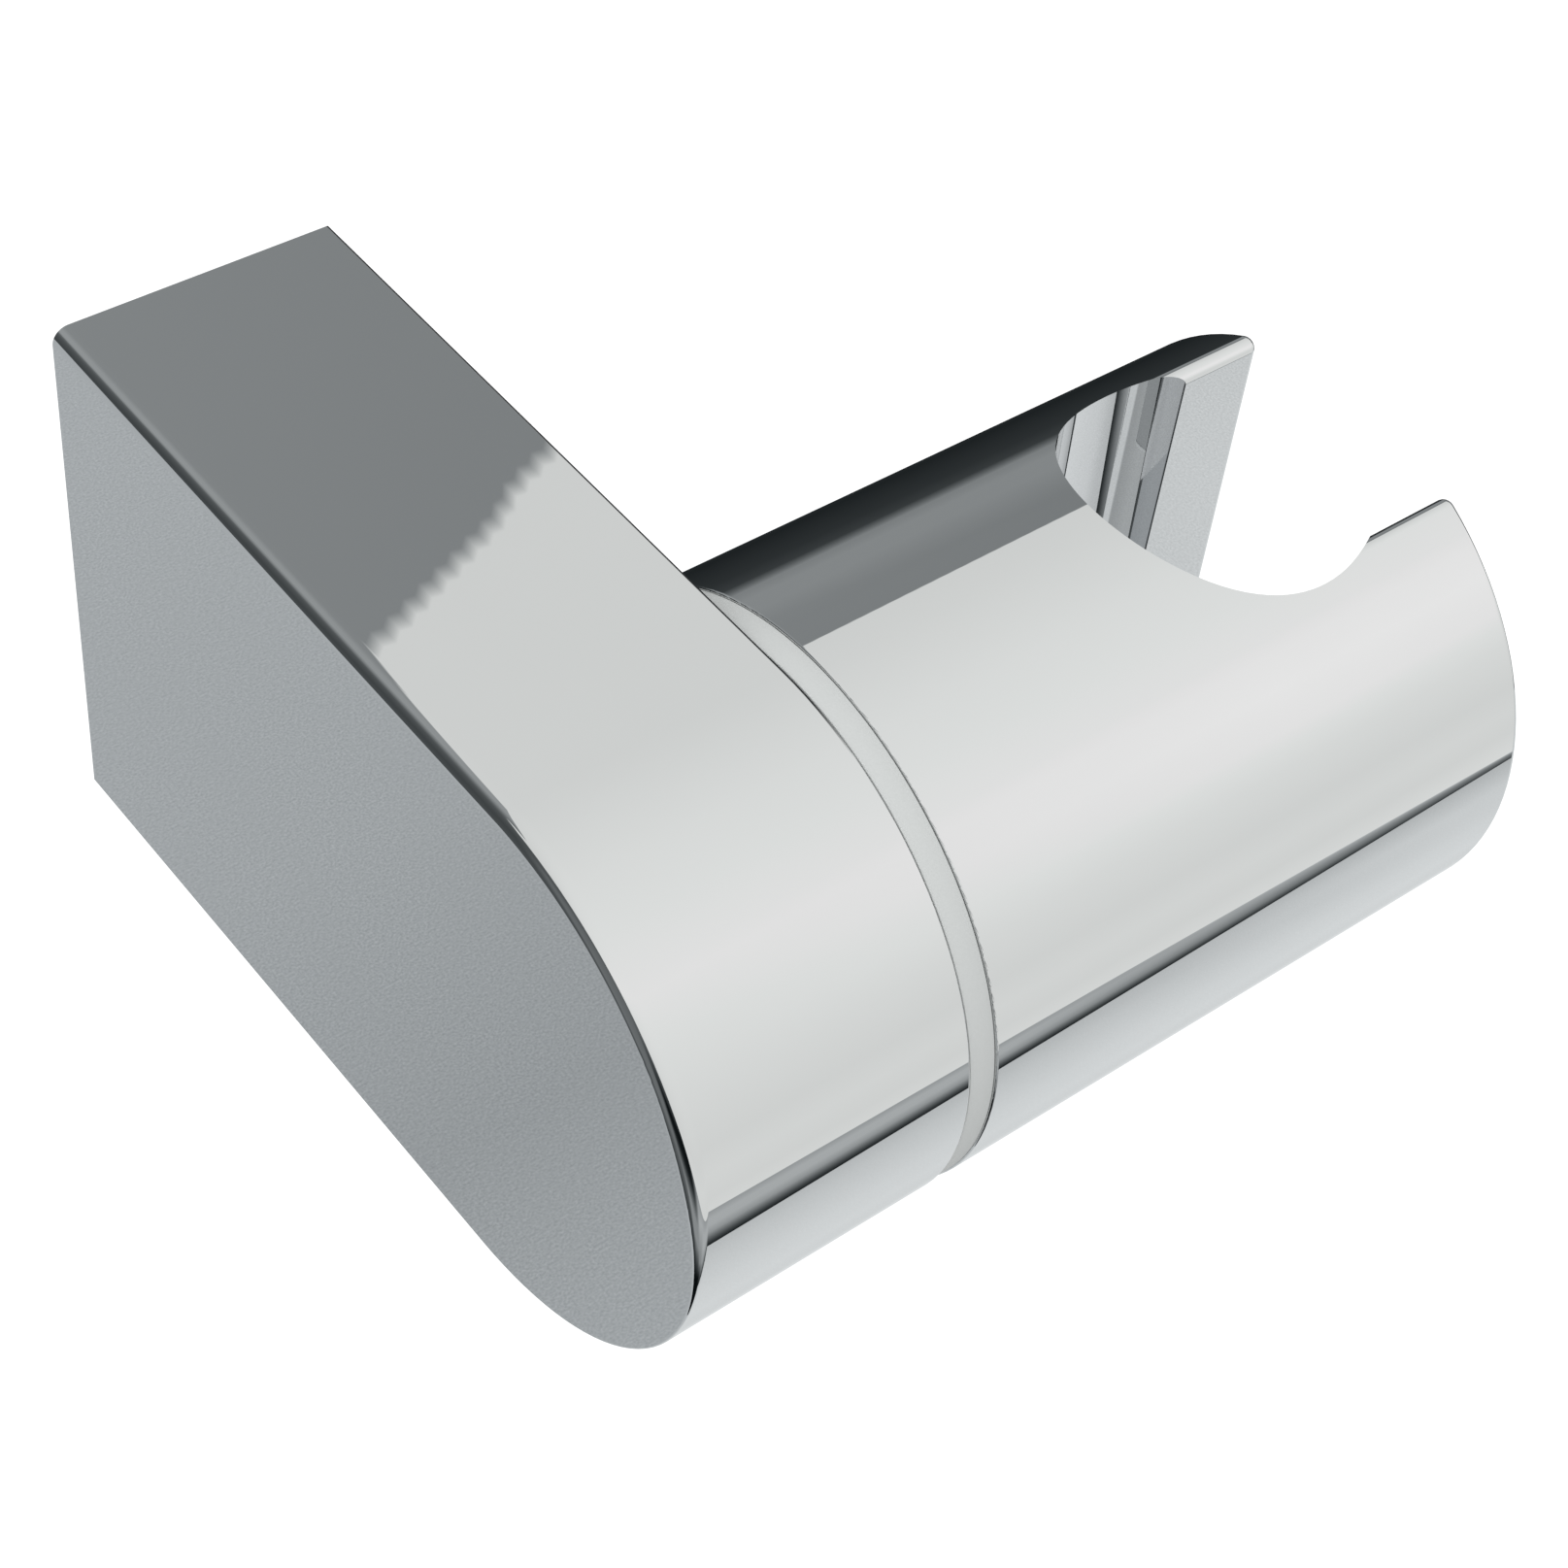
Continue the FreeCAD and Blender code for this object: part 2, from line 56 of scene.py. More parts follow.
CHROME: Triple = (0.80, 0.806, 0.808)


# Node trees

def add_node(tree: NodeTree, kind: str, values: dict[Any, Any] | None = None,
             **settings: Any) -> Node:
    """Adds a node and feeds its inputs.

    Args:
        tree: The tree it goes in.
        kind: Blender's type of node.
        values: What goes into each input: a formula, a socket, a plain value or a list of them.
        settings: Its named options.

    Returns:
        The node.
    """
    node = tree.nodes.new(kind)
    for name, setting in settings.items():
        setattr(node, name, setting)
    feed(node, values or {})
    return node


def feed(node: Node, values: dict[Any, Any]) -> None:
    """Feeds a node's inputs, by name or number."""
    for name, value in values.items():
        for given in value if isinstance(value, list) else [value]:
            socket = node.inputs[name]
            if isinstance(given, Formula):
                given = given.socket
            if isinstance(given, NodeSocket):
                node.id_data.links.new(given, socket)
            else:
                socket.default_value = (*given, 1.0) if socket.type == "RGBA" else given


def reckon(tree: NodeTree, kind: str, values: dict[Any, Any], output: int | str = 0,
           **settings: Any) -> "Formula":
    """Adds a node, as add_node does, and gives one of its outputs as a formula."""
    return Formula(add_node(tree, kind, values, **settings).outputs[output])


def operator(operation: str) -> Callable[["Formula", "Formula | float"], "Formula"]:
    """Makes a method of formulas out of one Math operation on two terms."""

    def method(first: "Formula", second: "Formula | float") -> "Formula":
        """Works the operation out on a formula and another term."""
        return first.step(operation, second)

    return method


class Formula:
    """A number that varies from point to point, written with ordinary arithmetic."""

    def __init__(self, socket: NodeSocket) -> None:
        """Keeps the socket that holds the value and the tree that it stands in."""
        self.socket = socket
        self.tree = socket.id_data

    def step(self, operation: str, *others: "Formula | float") -> "Formula":
        """Adds one Math node that works on this value and any others."""
        terms = dict(enumerate((self, *others)))
        return reckon(self.tree, "ShaderNodeMath", terms, operation=operation)

    __add__ = __radd__ = operator("ADD")
    __sub__ = operator("SUBTRACT")
    __mul__ = __rmul__ = operator("MULTIPLY")
    __truediv__ = operator("DIVIDE")
    power = operator("POWER")
    at_least = operator("MAXIMUM")
    at_most = operator("MINIMUM")
    angle_from = operator("ARCTAN2")

    def __neg__(self) -> "Formula":
        """The same size with the other sign."""
        return self * -1.0

    def __rsub__(self, other: float) -> "Formula":
        """A plain number less this one."""
        return -self + other

    def between(self, low: float, high: float) -> "Formula":
        """0 at low, 1 at high, straight between them and held outside."""
        values = {"Value": self, "From Min": low, "From Max": high}
        return reckon(self.tree, "ShaderNodeMapRange", values, "Result")

    def below_zero(self, softness: float) -> "Formula":
        """Mask that is 1 where the value is under zero, with an edge of the given softness."""
        return self.between(softness, -softness)

    def ramp(self, stops: Stops) -> "Formula":
        """Reads a value off a line through pairs of position and value, in order of position."""
        low, high = stops[0][0], stops[-1][0]
        peak = max(value for _, value in stops)
        node = add_node(self.tree, "ShaderNodeValToRGB", {"Fac": self.between(low, high)})
        band = node.color_ramp
        while len(band.elements) < len(stops):
            band.elements.new(0.5)
        for element, (place, value) in zip(band.elements, stops):
            element.position = (place - low) / (high - low)
            element.color = (value / peak, value / peak, value / peak, 1.0)
        colour = {"Color": node.outputs["Color"]}
        return reckon(self.tree, "ShaderNodeSeparateColor", colour) * peak

    def covered(self, other: "Formula | float", mask: "Formula") -> "Formula":
        """This value, with another laid over it where the mask is 1."""
        return self + (other - self) * mask


def separate(vector: NodeSocket) -> tuple[Formula, ...]:
    """Splits a vector socket into three formulas."""
    node = add_node(vector.id_data, "ShaderNodeSeparateXYZ", {0: vector})
    return tuple(Formula(output) for output in node.outputs)


def join(*parts: Formula | float) -> NodeSocket:
    """Makes a vector socket of two or three formulas or plain numbers."""
    tree = next(part.tree for part in parts if isinstance(part, Formula))
    return add_node(tree, "ShaderNodeCombineXYZ", dict(enumerate(parts))).outputs[0]


def weighed(parts: Sequence[Formula | float], weights: Sequence[float]) -> Formula:
    """Adds up the parts, each times its weight."""
    return sum(part * weight for part, weight in zip(parts, weights))


def grain(place: Sequence[Formula], scale: float, detail: float) -> Formula:
    """Makes fine noise round 0.5.

    Args:
        place: Two or three formulas that say where in the pattern a point lies.
        scale: Grains for one unit of place.
        detail: Layers of finer grain.

    Returns:
        The noise.
    """
    vector = join(*place)
    values = {"Vector": vector, "Scale": scale, "Detail": detail}
    return reckon(vector.id_data, "ShaderNodeTexNoise", values, "Fac")


def empty_material(name: str) -> Material:
    """Makes a node material with nothing in its tree."""
    material = bpy.data.materials.new(name)
    material.use_nodes = True
    material.node_tree.nodes.clear()
    return material


def add_object(name: str, data: ID) -> Object:
    """Makes an object at the origin and puts it in the scene."""
    made = bpy.data.objects.new(name, data)
    bpy.context.scene.collection.objects.link(made)
    return made


# Surroundings that the chrome mirrors

@dataclass(frozen=True)
class ReflectedStudio:
    """What polished metal sees round it, by direction: a light tent with a dark gap at its
    foot, a grey wall behind, a dark side wall and a pale table. Lights are display values
    from 0 to 255 as the chrome shows them, each a soft gradient across one of these forms.

    The tent and the wall behind go by degrees round the pivot, the side walls by degrees of
    height, and the table by its own plane, one unit below the object. A span says where one
    form gives way to the next.
    """

    chrome_reflectance: Triple = CHROME
    tint_span: Span = (224.5, 220.5)
    tint: Triple = (2.2, 0.0, 1.0)
    coolness: Triple = (1.6, 0.0, -2.4)
    soft_edge: float = 0.0055
    sharp_edge: float = 0.0012
    fold: float = 0.02

    seam: float = 65.0
    tent: Stops = (
        (40, 204), (60, 208), (90, 217), (117, 222), (132, 224), (162, 216), (189, 208), (199, 211),
        (208, 208), (220, 216),
    )
    bright_streak: Stops = ((126, 0), (144, 8), (159, 8), (172, 2), (186, 0))
    streak_span: Span = (0.4, 0.585)
    back_wall: Stops = (
        (-60, 40), (-33, 31), (-6, 46), (2, 57), (8, 136), (14, 146), (22, 146), (36, 135),
        (52, 129),
    )
    back_wall_edge: Stops = (
        (-1.5, 1.1), (-1.4, 0.71), (-0.2, 0.7), (0.1, 0.712), (0.3, 0.755), (0.55, 0.834),
        (0.628, 0.8665), (0.646, 0.88), (0.69, 0.898), (0.9, 0.925), (1.3, 0.96),
    )
    back_wall_sides: Stops = ((-1.6, 0), (-0.8, 54), (-0.4, 55), (0, 42), (0.5, 40), (1.1, 28))
    back_wall_middle: float = 40.0
    back_wall_foot: Span = (3, 9)
    back_wall_low: float = 0.17
    side_span: Span = (-1.6, 1.3)
    tooth_pitch: float = 0.011
    tooth_depth: float = 0.0032

    gap_near: Triple = (0.325, -0.458, 1.0)
    gap_left: Triple = (0.2, -0.55, 1.0)
    gap_end: float = -0.4
    gap_fade: float = 0.05
    front_band: Stops = ((0, 150), (0.15, 168), (0.3, 167), (0.5, 145), (0.8, 68), (1, 25))
    far_band: Stops = ((0, 185), (0.1, 150), (0.3, 117), (0.8, 74), (1, 40))
    far_band_span: Span = (0.48, 0.62)
    left_span: Span = (-0.1, -0.35)
    left_front: Stops = ((-52, 12), (-45, 130), (-30, 168), (-20, 140))
    left_corner: Stops = (
        (-52, 12), (-40, 138), (-33, 135), (-22, 28), (-16, 14), (-10, 52), (0, 90),
    )
    left_wall: Stops = ((-55, 6), (-46, 60), (-32, 107), (0, 98), (12, 80), (24, 84), (35, 115))
    back_corner: Stops = ((-46, 79), (0, 66), (20, 80), (35, 118))
    bearing_spans: tuple[Span, ...] = ((-145, -132), (-105, -95), (-70, -62))

    table_front: Triple = (-0.528, -1.4505, 1.0)
    table_left: Triple = (-1.0, 0.0, -0.85)
    table_slant: Triple = (-1.0, -1.0, -0.25)
    corner_side: Triple = (-1.0, 0.0, -0.12)
    corner_slant: Triple = (-0.6, -1.0, -0.37)
    table_back: Triple = (1.0, 1.0, -1.7)
    table_rise: float = 20.0
    near_table: Stops = (
        (-1.1, 174), (-0.72, 193), (-0.5, 200), (-0.3, 205), (-0.05, 206), (0.1, 201), (0.2, 200),
        (0.45, 213),
    )
    right_lift: Stops = ((-1.1, 4), (-0.72, 7), (-0.3, 0))
    right_span: Span = (0.8, 0.92)
    far_table: Stops = ((-0.6, 168), (0, 178), (0.4, 172), (0.6, 151), (0.75, 161), (1, 167))
    far_table_span: Span = (0.1, -0.35)
    corner_shade: float = 46.0
    corner_lift: float = 12.0
    corner_lift_span: Span = (0.4, 0.2)
    corner_spans: tuple[Span, Span] = ((0.47, 0.44), (0.8, 1.0))
    table_coolness: Span = (0.9, 0.6)
    table_grain: float = 48.0
    grain_scale: float = 1000.0

    def radiance(self, direction: NodeSocket) -> NodeSocket:
        """Builds the colour seen in a direction, given as a unit vector from the object.

        Args:
            direction: Socket of that vector.

        Returns:
            Colour socket in linear light.
        """
        way = separate(direction)
        light, cool = self.gap_and_table(way, *self.walls(way))
        tint = light.between(*self.tint_span)
        linear = []
        for tinted, cooled, reflectance in zip(self.tint, self.coolness, self.chrome_reflectance):
            channel = light - tint * tinted - cool * cooled
            linear.append(((channel / 255 + 0.055) / 1.055).power(2.4) / reflectance)
        return join(*linear)

    def walls(self, way: tuple[Formula, ...]) -> tuple[Formula, Formula]:
        """The light tent and the grey wall behind, whose lit edge hangs in small scallops.

        Args:
            way: Direction along the pivot, towards the wall and upwards.

        Returns:
            Light and coolness of colour.
        """
        x, y, z = way
        turn = z.angle_from(y) * DEGREES + self.seam
        around = turn.step("FLOORED_MODULO", 360.0) - self.seam
        up = z.at_least(self.fold)
        side = (x / up).at_least(self.side_span[0]).at_most(self.side_span[1])
        scallops = (side * (2 / self.tooth_pitch)).step("PINGPONG", 1.0) - 0.5
        edge = side.ramp(self.back_wall_edge) + scallops * self.tooth_depth
        wall = (edge - y / up).below_zero(self.soft_edge)
        low = (z - self.back_wall_low).below_zero(self.fold) * (-y).below_zero(self.fold)
        wall = wall.at_least(low)
        sides = side.ramp(self.back_wall_sides) - self.back_wall_middle
        wall_light = around.ramp(self.back_wall) + sides * around.between(*self.back_wall_foot)
        streak = around.ramp(self.bright_streak) * x.between(*self.streak_span)
        return (around.ramp(self.tent) + streak).covered(wall_light, wall), wall

    def gap_and_table(self, way: tuple[Formula, ...], light: Formula,
                      cool: Formula) -> tuple[Formula, Formula]:
        """Lays the dark gap, the side walls and the pale table over the tent and back wall.

        Args:
            way: Direction along the pivot, towards the wall and upwards.
            light: Light so far.
            cool: Coolness of colour so far.

        Returns:
            Light and coolness of colour.
        """
        x, y, z = way
        down = (-z).at_least(self.fold)
        floor_x, floor_y = x / down, y / down
        tent_foot = weighed(way, self.gap_near).at_least(weighed(way, self.gap_left))
        front_edge = weighed(way, self.table_front)
        left, slant, corner_side, corner_slant, back = (
            weighed((floor_x, floor_y, 1.0), line)
            for line in (self.table_left, self.table_slant, self.corner_side, self.corner_slant,
                         self.table_back))
        off_left = slant.at_most(left.at_least(corner_side.at_most(corner_slant)))
        off_table = (front_edge / down).at_least(off_left).at_least(back)
        table = off_table.at_least(z * self.table_rise).below_zero(self.sharp_edge)

        share = -tent_foot / (front_edge.at_least(0.0) - tent_foot).at_least(0.0001)
        band = share.ramp(self.front_band)
        band = band.covered(share.ramp(self.far_band), x.between(*self.far_band_span))
        rise = z.step("ARCSINE") * DEGREES
        bearing = x.angle_from(y) * DEGREES
        side = rise.ramp(self.left_front)
        for stops, span in zip((self.left_corner, self.left_wall, self.back_corner),
                               self.bearing_spans):
            side = side.covered(rise.ramp(stops), bearing.between(*span))
        reach = y.below_zero(self.fold).at_least((x - self.gap_end).below_zero(self.gap_fade))
        gap = tent_foot.below_zero(self.sharp_edge) * reach
        light = light.covered(band.covered(side, x.between(*self.left_span)), gap)

        lift = floor_y.ramp(self.right_lift) * floor_x.between(*self.right_span)
        shade = self.corner_shade - floor_x.between(*self.corner_lift_span) * self.corner_lift
        across, along = self.corner_spans
        shade = shade * (floor_x.between(*across) * floor_y.between(*along))
        near = floor_y.ramp(self.near_table) + lift - shade
        leftwards = floor_x.between(*self.far_table_span)
        table_light = near.covered(floor_y.ramp(self.far_table), leftwards)
        speckle = (grain((floor_x, floor_y), self.grain_scale, 1.0) - 0.5) * self.table_grain
        base, growth = self.table_coolness
        return (light.covered(table_light + speckle, table),
                cool.at_least(gap).covered(leftwards * growth + base, table))


# Studio

@dataclass
class Studio:
    """Pale floor, soft light, the camera, and the tent that the chrome mirrors."""

    camera_place: Triple = (-85.811, -152.970, 162.969)
    azimuth: float = -45.992
    elevation: float = 47.190
    roll: float = 9.227
    lens: float = 77.408
    sensor: float = 36.0
    shift: tuple[float, float] = (-0.0709, 0.0164)
    nearest: float = 5.0
    floor_z: float = -300.0
    floor_half: float = 3000.0
    floor_colour: float = 0.78
    floor_roughness: float = 0.9
    floor_lift: float = 0.42
    tent_radius: float = 20000.0
    tent_segments: tuple[int, int] = (48, 24)
    room_light: float = 0.62
    overhead_lamp: Triple = (-300.0, -500.0, 1300.0)
    left_lamp: Triple = (-1200.0, -300.0, 700.0)
    lamp_size: float = 1400.0
    lamp_power: float = 9.0
    surroundings: ReflectedStudio = field(default_factory=ReflectedStudio)

    def build(self) -> None:
        """Makes the whole studio."""
        self.place_camera()
        self.light_world()
        self.hang_lamp("overhead_lamp", self.overhead_lamp)
        self.hang_lamp("left_lamp", self.left_lamp)
        self.lay_floor()
        self.raise_tent()
        view = bpy.context.scene.view_settings
        view.view_transform = "Standard"

    def place_camera(self) -> None:
        """Sets the camera where the photograph was taken from."""
        data = bpy.data.cameras.new("photograph_camera")
        data.sensor_width = self.sensor
        data.lens = self.lens
        data.shift_x, data.shift_y = self.shift
        data.clip_start = self.nearest * MM
        camera = add_object("photograph_camera", data)
        place = Matrix.Translation(Vector(self.camera_place) * MM)
        for angle, axis in ((self.azimuth, "Z"), (90 - self.elevation, "X"), (self.roll, "Z")):
            place = place @ Matrix.Rotation(math.radians(angle), 4, axis)
        camera.matrix_world = place
        bpy.context.scene.camera = camera

    def light_world(self) -> None:
        """White to the camera and to mirrors, a softer even light to everything else."""
        world = bpy.data.worlds.new("even_light")
        world.use_nodes = True
        tree = world.node_tree
        tree.nodes.clear()
        camera, glossy, clear = (reckon(tree, "ShaderNodeLightPath", {}, f"Is {kind} Ray")
                                 for kind in ("Camera", "Glossy", "Transmission"))
        seen = camera.at_least(glossy).at_least(clear)
        strength = seen * (1.0 - self.room_light) + self.room_light
        background = add_node(tree, "ShaderNodeBackground", {"Color": WHITE, "Strength": strength})
        add_node(tree, "ShaderNodeOutputWorld", {"Surface": background.outputs[0]})
        bpy.context.scene.world = world

    def hang_lamp(self, name: str, place: Triple) -> None:
        """Hangs a large soft lamp that no mirror shows, turned to the holder."""
        data = bpy.data.lights.new(name, "AREA")
        data.shape = "SQUARE"
        data.size = self.lamp_size * MM
        data.energy = self.lamp_power
        lamp = add_object(name, data)
        spot = Vector(place) * MM
        lamp.location = spot
        lamp.rotation_euler = (-spot).to_track_quat("-Z", "Y").to_euler()
        lamp.visible_glossy = False
        lamp.visible_camera = False

    def lay_floor(self) -> None:
        """Pale floor well below the holder, lifted to white only for the camera."""
        half, z = self.floor_half * MM, self.floor_z * MM
        mesh = bpy.data.meshes.new("floor")
        mesh.from_pydata([(-half, -half, z), (half, -half, z), (half, half, z), (-half, half, z)],
                         [], [(0, 1, 2, 3)])
        material = empty_material("pale_floor")
        tree = material.node_tree
        seen = reckon(tree, "ShaderNodeLightPath", {}, "Is Camera Ray")
        body = add_node(tree, "ShaderNodeBsdfPrincipled", {
            "Base Color": (self.floor_colour,) * 3, "Roughness": self.floor_roughness,
            "Specular IOR Level": 0.0, "Emission Color": WHITE,
            "Emission Strength": seen * self.floor_lift,
        })
        add_node(tree, "ShaderNodeOutputMaterial", {"Surface": body.outputs[0]})
        mesh.materials.append(material)
        floor = add_object("floor", mesh)
        floor.visible_glossy = False

    def raise_tent(self) -> None:
        """Round tent far outside the studio, seen only in reflections."""
        mesh = bpy.data.meshes.new("light_tent")
        work = bmesh.new()
        round_it, upwards = self.tent_segments
        bmesh.ops.create_uvsphere(work, u_segments=round_it, v_segments=upwards,
                                  radius=self.tent_radius * MM)
        work.to_mesh(mesh)
        work.free()
        material = empty_material("light_tent")
        tree = material.node_tree
        place = add_node(tree, "ShaderNodeTexCoord").outputs["Object"]
        unit = add_node(tree, "ShaderNodeVectorMath", {0: place}, operation="NORMALIZE")
        seen = self.surroundings.radiance(unit.outputs[0])
        glow = add_node(tree, "ShaderNodeEmission", {"Color": seen})
        add_node(tree, "ShaderNodeOutputMaterial", {"Surface": glow.outputs[0]})
        material.cycles.emission_sampling = "NONE"
        mesh.materials.append(material)
        tent = add_object("light_tent", mesh)
        for ray in ("camera", "diffuse", "shadow", "transmission", "volume_scatter"):
            setattr(tent, f"visible_{ray}", False)


# Shapes that follow a rule

def report(piece: Object) -> None:
    """Logs a finished piece."""
    LOG.info("%s: %d faces, %s", piece.name, len(piece.data.polygons),
             ", ".join(slot.name for slot in piece.data.materials))


class ShapeRule:
    """A Geometry Nodes tree with named sizes, closed by one finish."""

    weld: float = 1e-6
    crease_angle: float = 32.0

    def __init__(self, name: str) -> None:
        """Starts an empty tree."""
        self.tree = bpy.data.node_groups.new(name, "GeometryNodeTree")
        self.tree.interface.new_socket("Geometry", in_out="OUTPUT",
                                       socket_type="NodeSocketGeometry")
        self.entry = self.tree.nodes.new("NodeGroupInput")

    def size(self, name: str, kind: str = "Float") -> Formula:
        """Adds a named size, in metres or plain numbers, or an input of another kind."""
        self.tree.interface.new_socket(name, in_out="INPUT", socket_type=f"NodeSocket{kind}")
        return Formula(self.entry.outputs[name])

    def add(self, kind: str, values: dict[str, Any] | None = None, **settings: str) -> NodeSocket:
        """Adds a geometry node with its values and settings, and gives its first output."""
        return add_node(self.tree, f"GeometryNode{kind}", values, **settings).outputs[0]

    def close(self, geometry: NodeSocket) -> None:
        """Ends the tree with its instances made real and its finish on them."""
        finish = self.size("Finish", "Material")
        real = self.add("RealizeInstances", {"Geometry": geometry})
        dressed = self.add("SetMaterial", {"Geometry": real, "Material": finish})
        add_node(self.tree, "NodeGroupOutput", {"Geometry": dressed})

    def make(self, name: str, sizes: dict[str, Any], placed: Matrix) -> Object:
        """Makes one piece by this rule.

        Args:
            name: Name of the piece.
            sizes: A value for every named input.
            placed: Where the piece goes, applied to its mesh.

        Returns:
            The piece as a plain mesh.
        """
        piece = add_object(name, bpy.data.meshes.new(name))
        modifier = piece.modifiers.new("rule", "NODES")
        modifier.node_group = self.tree
        for socket in self.tree.interface.items_tree:
            if socket.in_out == "INPUT":
                modifier[socket.identifier] = sizes[socket.name]
        seen = bpy.context.evaluated_depsgraph_get()
        mesh = bpy.data.meshes.new_from_object(piece.evaluated_get(seen))
        piece.modifiers.clear()
        mesh.transform(placed)
        mesh.materials.clear()
        mesh.materials.append(sizes["Finish"])
        work = bmesh.new()
        work.from_mesh(mesh)
        for face in work.faces:
            face.material_index = 0
        bmesh.ops.remove_doubles(work, verts=work.verts, dist=self.weld)
        bmesh.ops.recalc_face_normals(work, faces=work.faces)
        work.to_mesh(mesh)
        work.free()
        mesh.shade_smooth()
        mesh.set_sharp_from_angle(angle=math.radians(self.crease_angle))
        mesh.name = name
        piece.data = mesh
        return piece


def turned_ring_rule() -> ShapeRule:
    """Rule of a flat ring about Z with rounded rims and a spigot below it."""
    rule = ShapeRule("turned_ring")
    outer, bore, thickness, rounding = (
        rule.size(name) for name in ("Outer Radius", "Bore Radius", "Thickness", "Rim Rounding"))
    segments = rule.size("Segments", "Int")
    spigot_out, spigot_in, spigot_depth, land_depth = (
        rule.size(name) for name in ("Spigot Outer Radius", "Spigot Inner Radius", "Spigot Depth",
                                     "Land Depth"))

    def band(inner_r: Formula, outer_r: Formula, low: Formula, high: Formula,
             edge: Formula) -> NodeSocket:
        """Sweeps a rounded rectangle round the axis."""
        outline = rule.add("CurvePrimitiveQuadrilateral",
                           {"Width": outer_r - inner_r, "Height": high - low})
        outline = rule.add("FilletCurve",
                           {"Curve": outline, "Count": 4, "Radius": edge}, mode="POLY")
        path = rule.add("CurvePrimitiveCircle",
                        {"Resolution": segments, "Radius": (inner_r + outer_r) * 0.5})
        path = rule.add("SetCurveNormal", {"Curve": path}, mode="Z_UP")
        swept = rule.add("CurveToMesh", {"Curve": path, "Profile Curve": outline})
        lift = join(0.0, 0.0, (low + high) * 0.5)
        return rule.add("Transform", {"Geometry": swept, "Translation": lift})

    overlap = thickness * 0.3
    flange = band(bore, outer, thickness * 0.0, thickness, rounding)
    spigot = band(spigot_in, spigot_out, -spigot_depth, overlap, rounding * 0.3)
    land = band(bore + rounding * 0.1, spigot_in + overlap * 0.2, -land_depth, overlap,
                rounding * 0.1)
    rule.close(rule.add("MeshBoolean", {"Mesh 2": [flange, spigot, land]}, operation="UNION"))
    return rule


def countersunk_screw_rule() -> ShapeRule:
    """Rule of countersunk socket screws in a circle, the first towards X, each with a real thread.

    Their heads lie at Z 0 and the screws run up from there.
    """
    rule = ShapeRule("countersunk_screws")
    shank_r, length, pitch, thread_depth, head_r, flats, socket_depth = (
        rule.size(name) for name in ("Shank Radius", "Length", "Pitch", "Thread Depth",
                                     "Head Radius", "Socket Flats", "Socket Depth"))
    number, circle = rule.size("Number", "Int"), rule.size("Circle Radius")
    rows_per_turn = 6

    head_height = head_r - shank_r
    start = head_height * 0.5
    body = length - start
    shank = rule.add("MeshCylinder",
                     {"Vertices": 32, "Side Segments": body / pitch * rows_per_turn,
                      "Radius": shank_r, "Depth": body})
    x, y, z = separate(rule.add("InputPosition"))
    height = z + body * 0.5
    along = z / pitch - y.angle_from(x) / (2 * math.pi)
    ridge = along.step("PINGPONG", 0.5) * 2
    from_tip = (body * 0.5 - z).at_least(0.0)
    depth = (ridge * thread_depth).at_least((thread_depth - from_tip).at_least(0.0))
    keep = 1.0 - depth * (height / head_height).between(0.6, 1.2) / shank_r
    cut = rule.add("SetPosition",
                   {"Geometry": shank, "Position": join(x * keep, y * keep, height + start)})
    head = rule.add("MeshCone",
                    {"Vertices": 48, "Radius Top": shank_r, "Radius Bottom": head_r,
                     "Depth": head_height})
    solid = rule.add("MeshBoolean", {"Mesh 2": [cut, head]}, operation="UNION")
    key = rule.add("MeshCylinder",
                   {"Vertices": 6, "Radius": flats / math.sqrt(3), "Depth": socket_depth * 2})
    screw = rule.add("MeshBoolean", {"Mesh 1": solid, "Mesh 2": key}, operation="DIFFERENCE")

    bearing = Formula(rule.add("InputIndex")) * (2 * math.pi) / number
    spot = join(bearing.step("COSINE") * circle, bearing.step("SINE") * circle)
    spots = rule.add("Points", {"Count": number, "Position": spot})
    rule.close(rule.add("InstanceOnPoints", {"Points": spots, "Instance": screw}))
    return rule


# Exact surfaces of the chrome parts

@dataclass(frozen=True)
class Surface:
    """A surface whose normal is known everywhere on it.

    near gives the distance of points from the surface, and normal its outward directions.
    """

    near: Callable[[np.ndarray], np.ndarray]
    normal: Callable[[np.ndarray], np.ndarray]


def flat(normal: Triple, offset: float) -> Surface:
    """Plane given by its normal and its distance from the origin, in millimetres."""
    n = np.array(normal, float)
    return Surface(lambda p: np.abs(p @ n - offset), lambda p: np.tile(n, (len(p), 1)))


def unit(vectors: np.ndarray) -> np.ndarray:
    """Vectors made one long."""
    return vectors / np.maximum(np.linalg.norm(vectors, axis=1), 1e-12)[:, None]


def from_axis(p: np.ndarray, point: np.ndarray, along: np.ndarray) -> tuple[np.ndarray, ...]:
    """Distance along an axis, distance from it, and the direction away from it."""
    reach = (p - point) @ along
    out = p - point - np.outer(reach, along)
    return reach, np.linalg.norm(out, axis=1), unit(out)


def turned(axis_point: Triple, axis: Triple, radius: float, slope: float = 0.0,
           inside: bool = False) -> Surface:
    """Cylinder or cone.

    Args:
        axis_point: A point on the axis, where the radius is measured.
        axis: Unit direction of the axis.
        radius: Radius at that point.
        slope: Growth of the radius along the axis.
        inside: True for the wall of a hole.

    Returns:
        The surface.
    """
    point, along = np.array(axis_point, float), np.array(axis, float)
    sign = -1.0 if inside else 1.0

    def near(p: np.ndarray) -> np.ndarray:
        """Distance of points from the surface."""
        reach, distance, _ = from_axis(p, point, along)
        return np.abs(distance - radius - slope * reach)

    def normal(p: np.ndarray) -> np.ndarray:
        """Outward direction at points."""
        out = from_axis(p, point, along)[2]
        return sign * (out - slope * along) / math.hypot(1.0, slope)

    return Surface(near, normal)


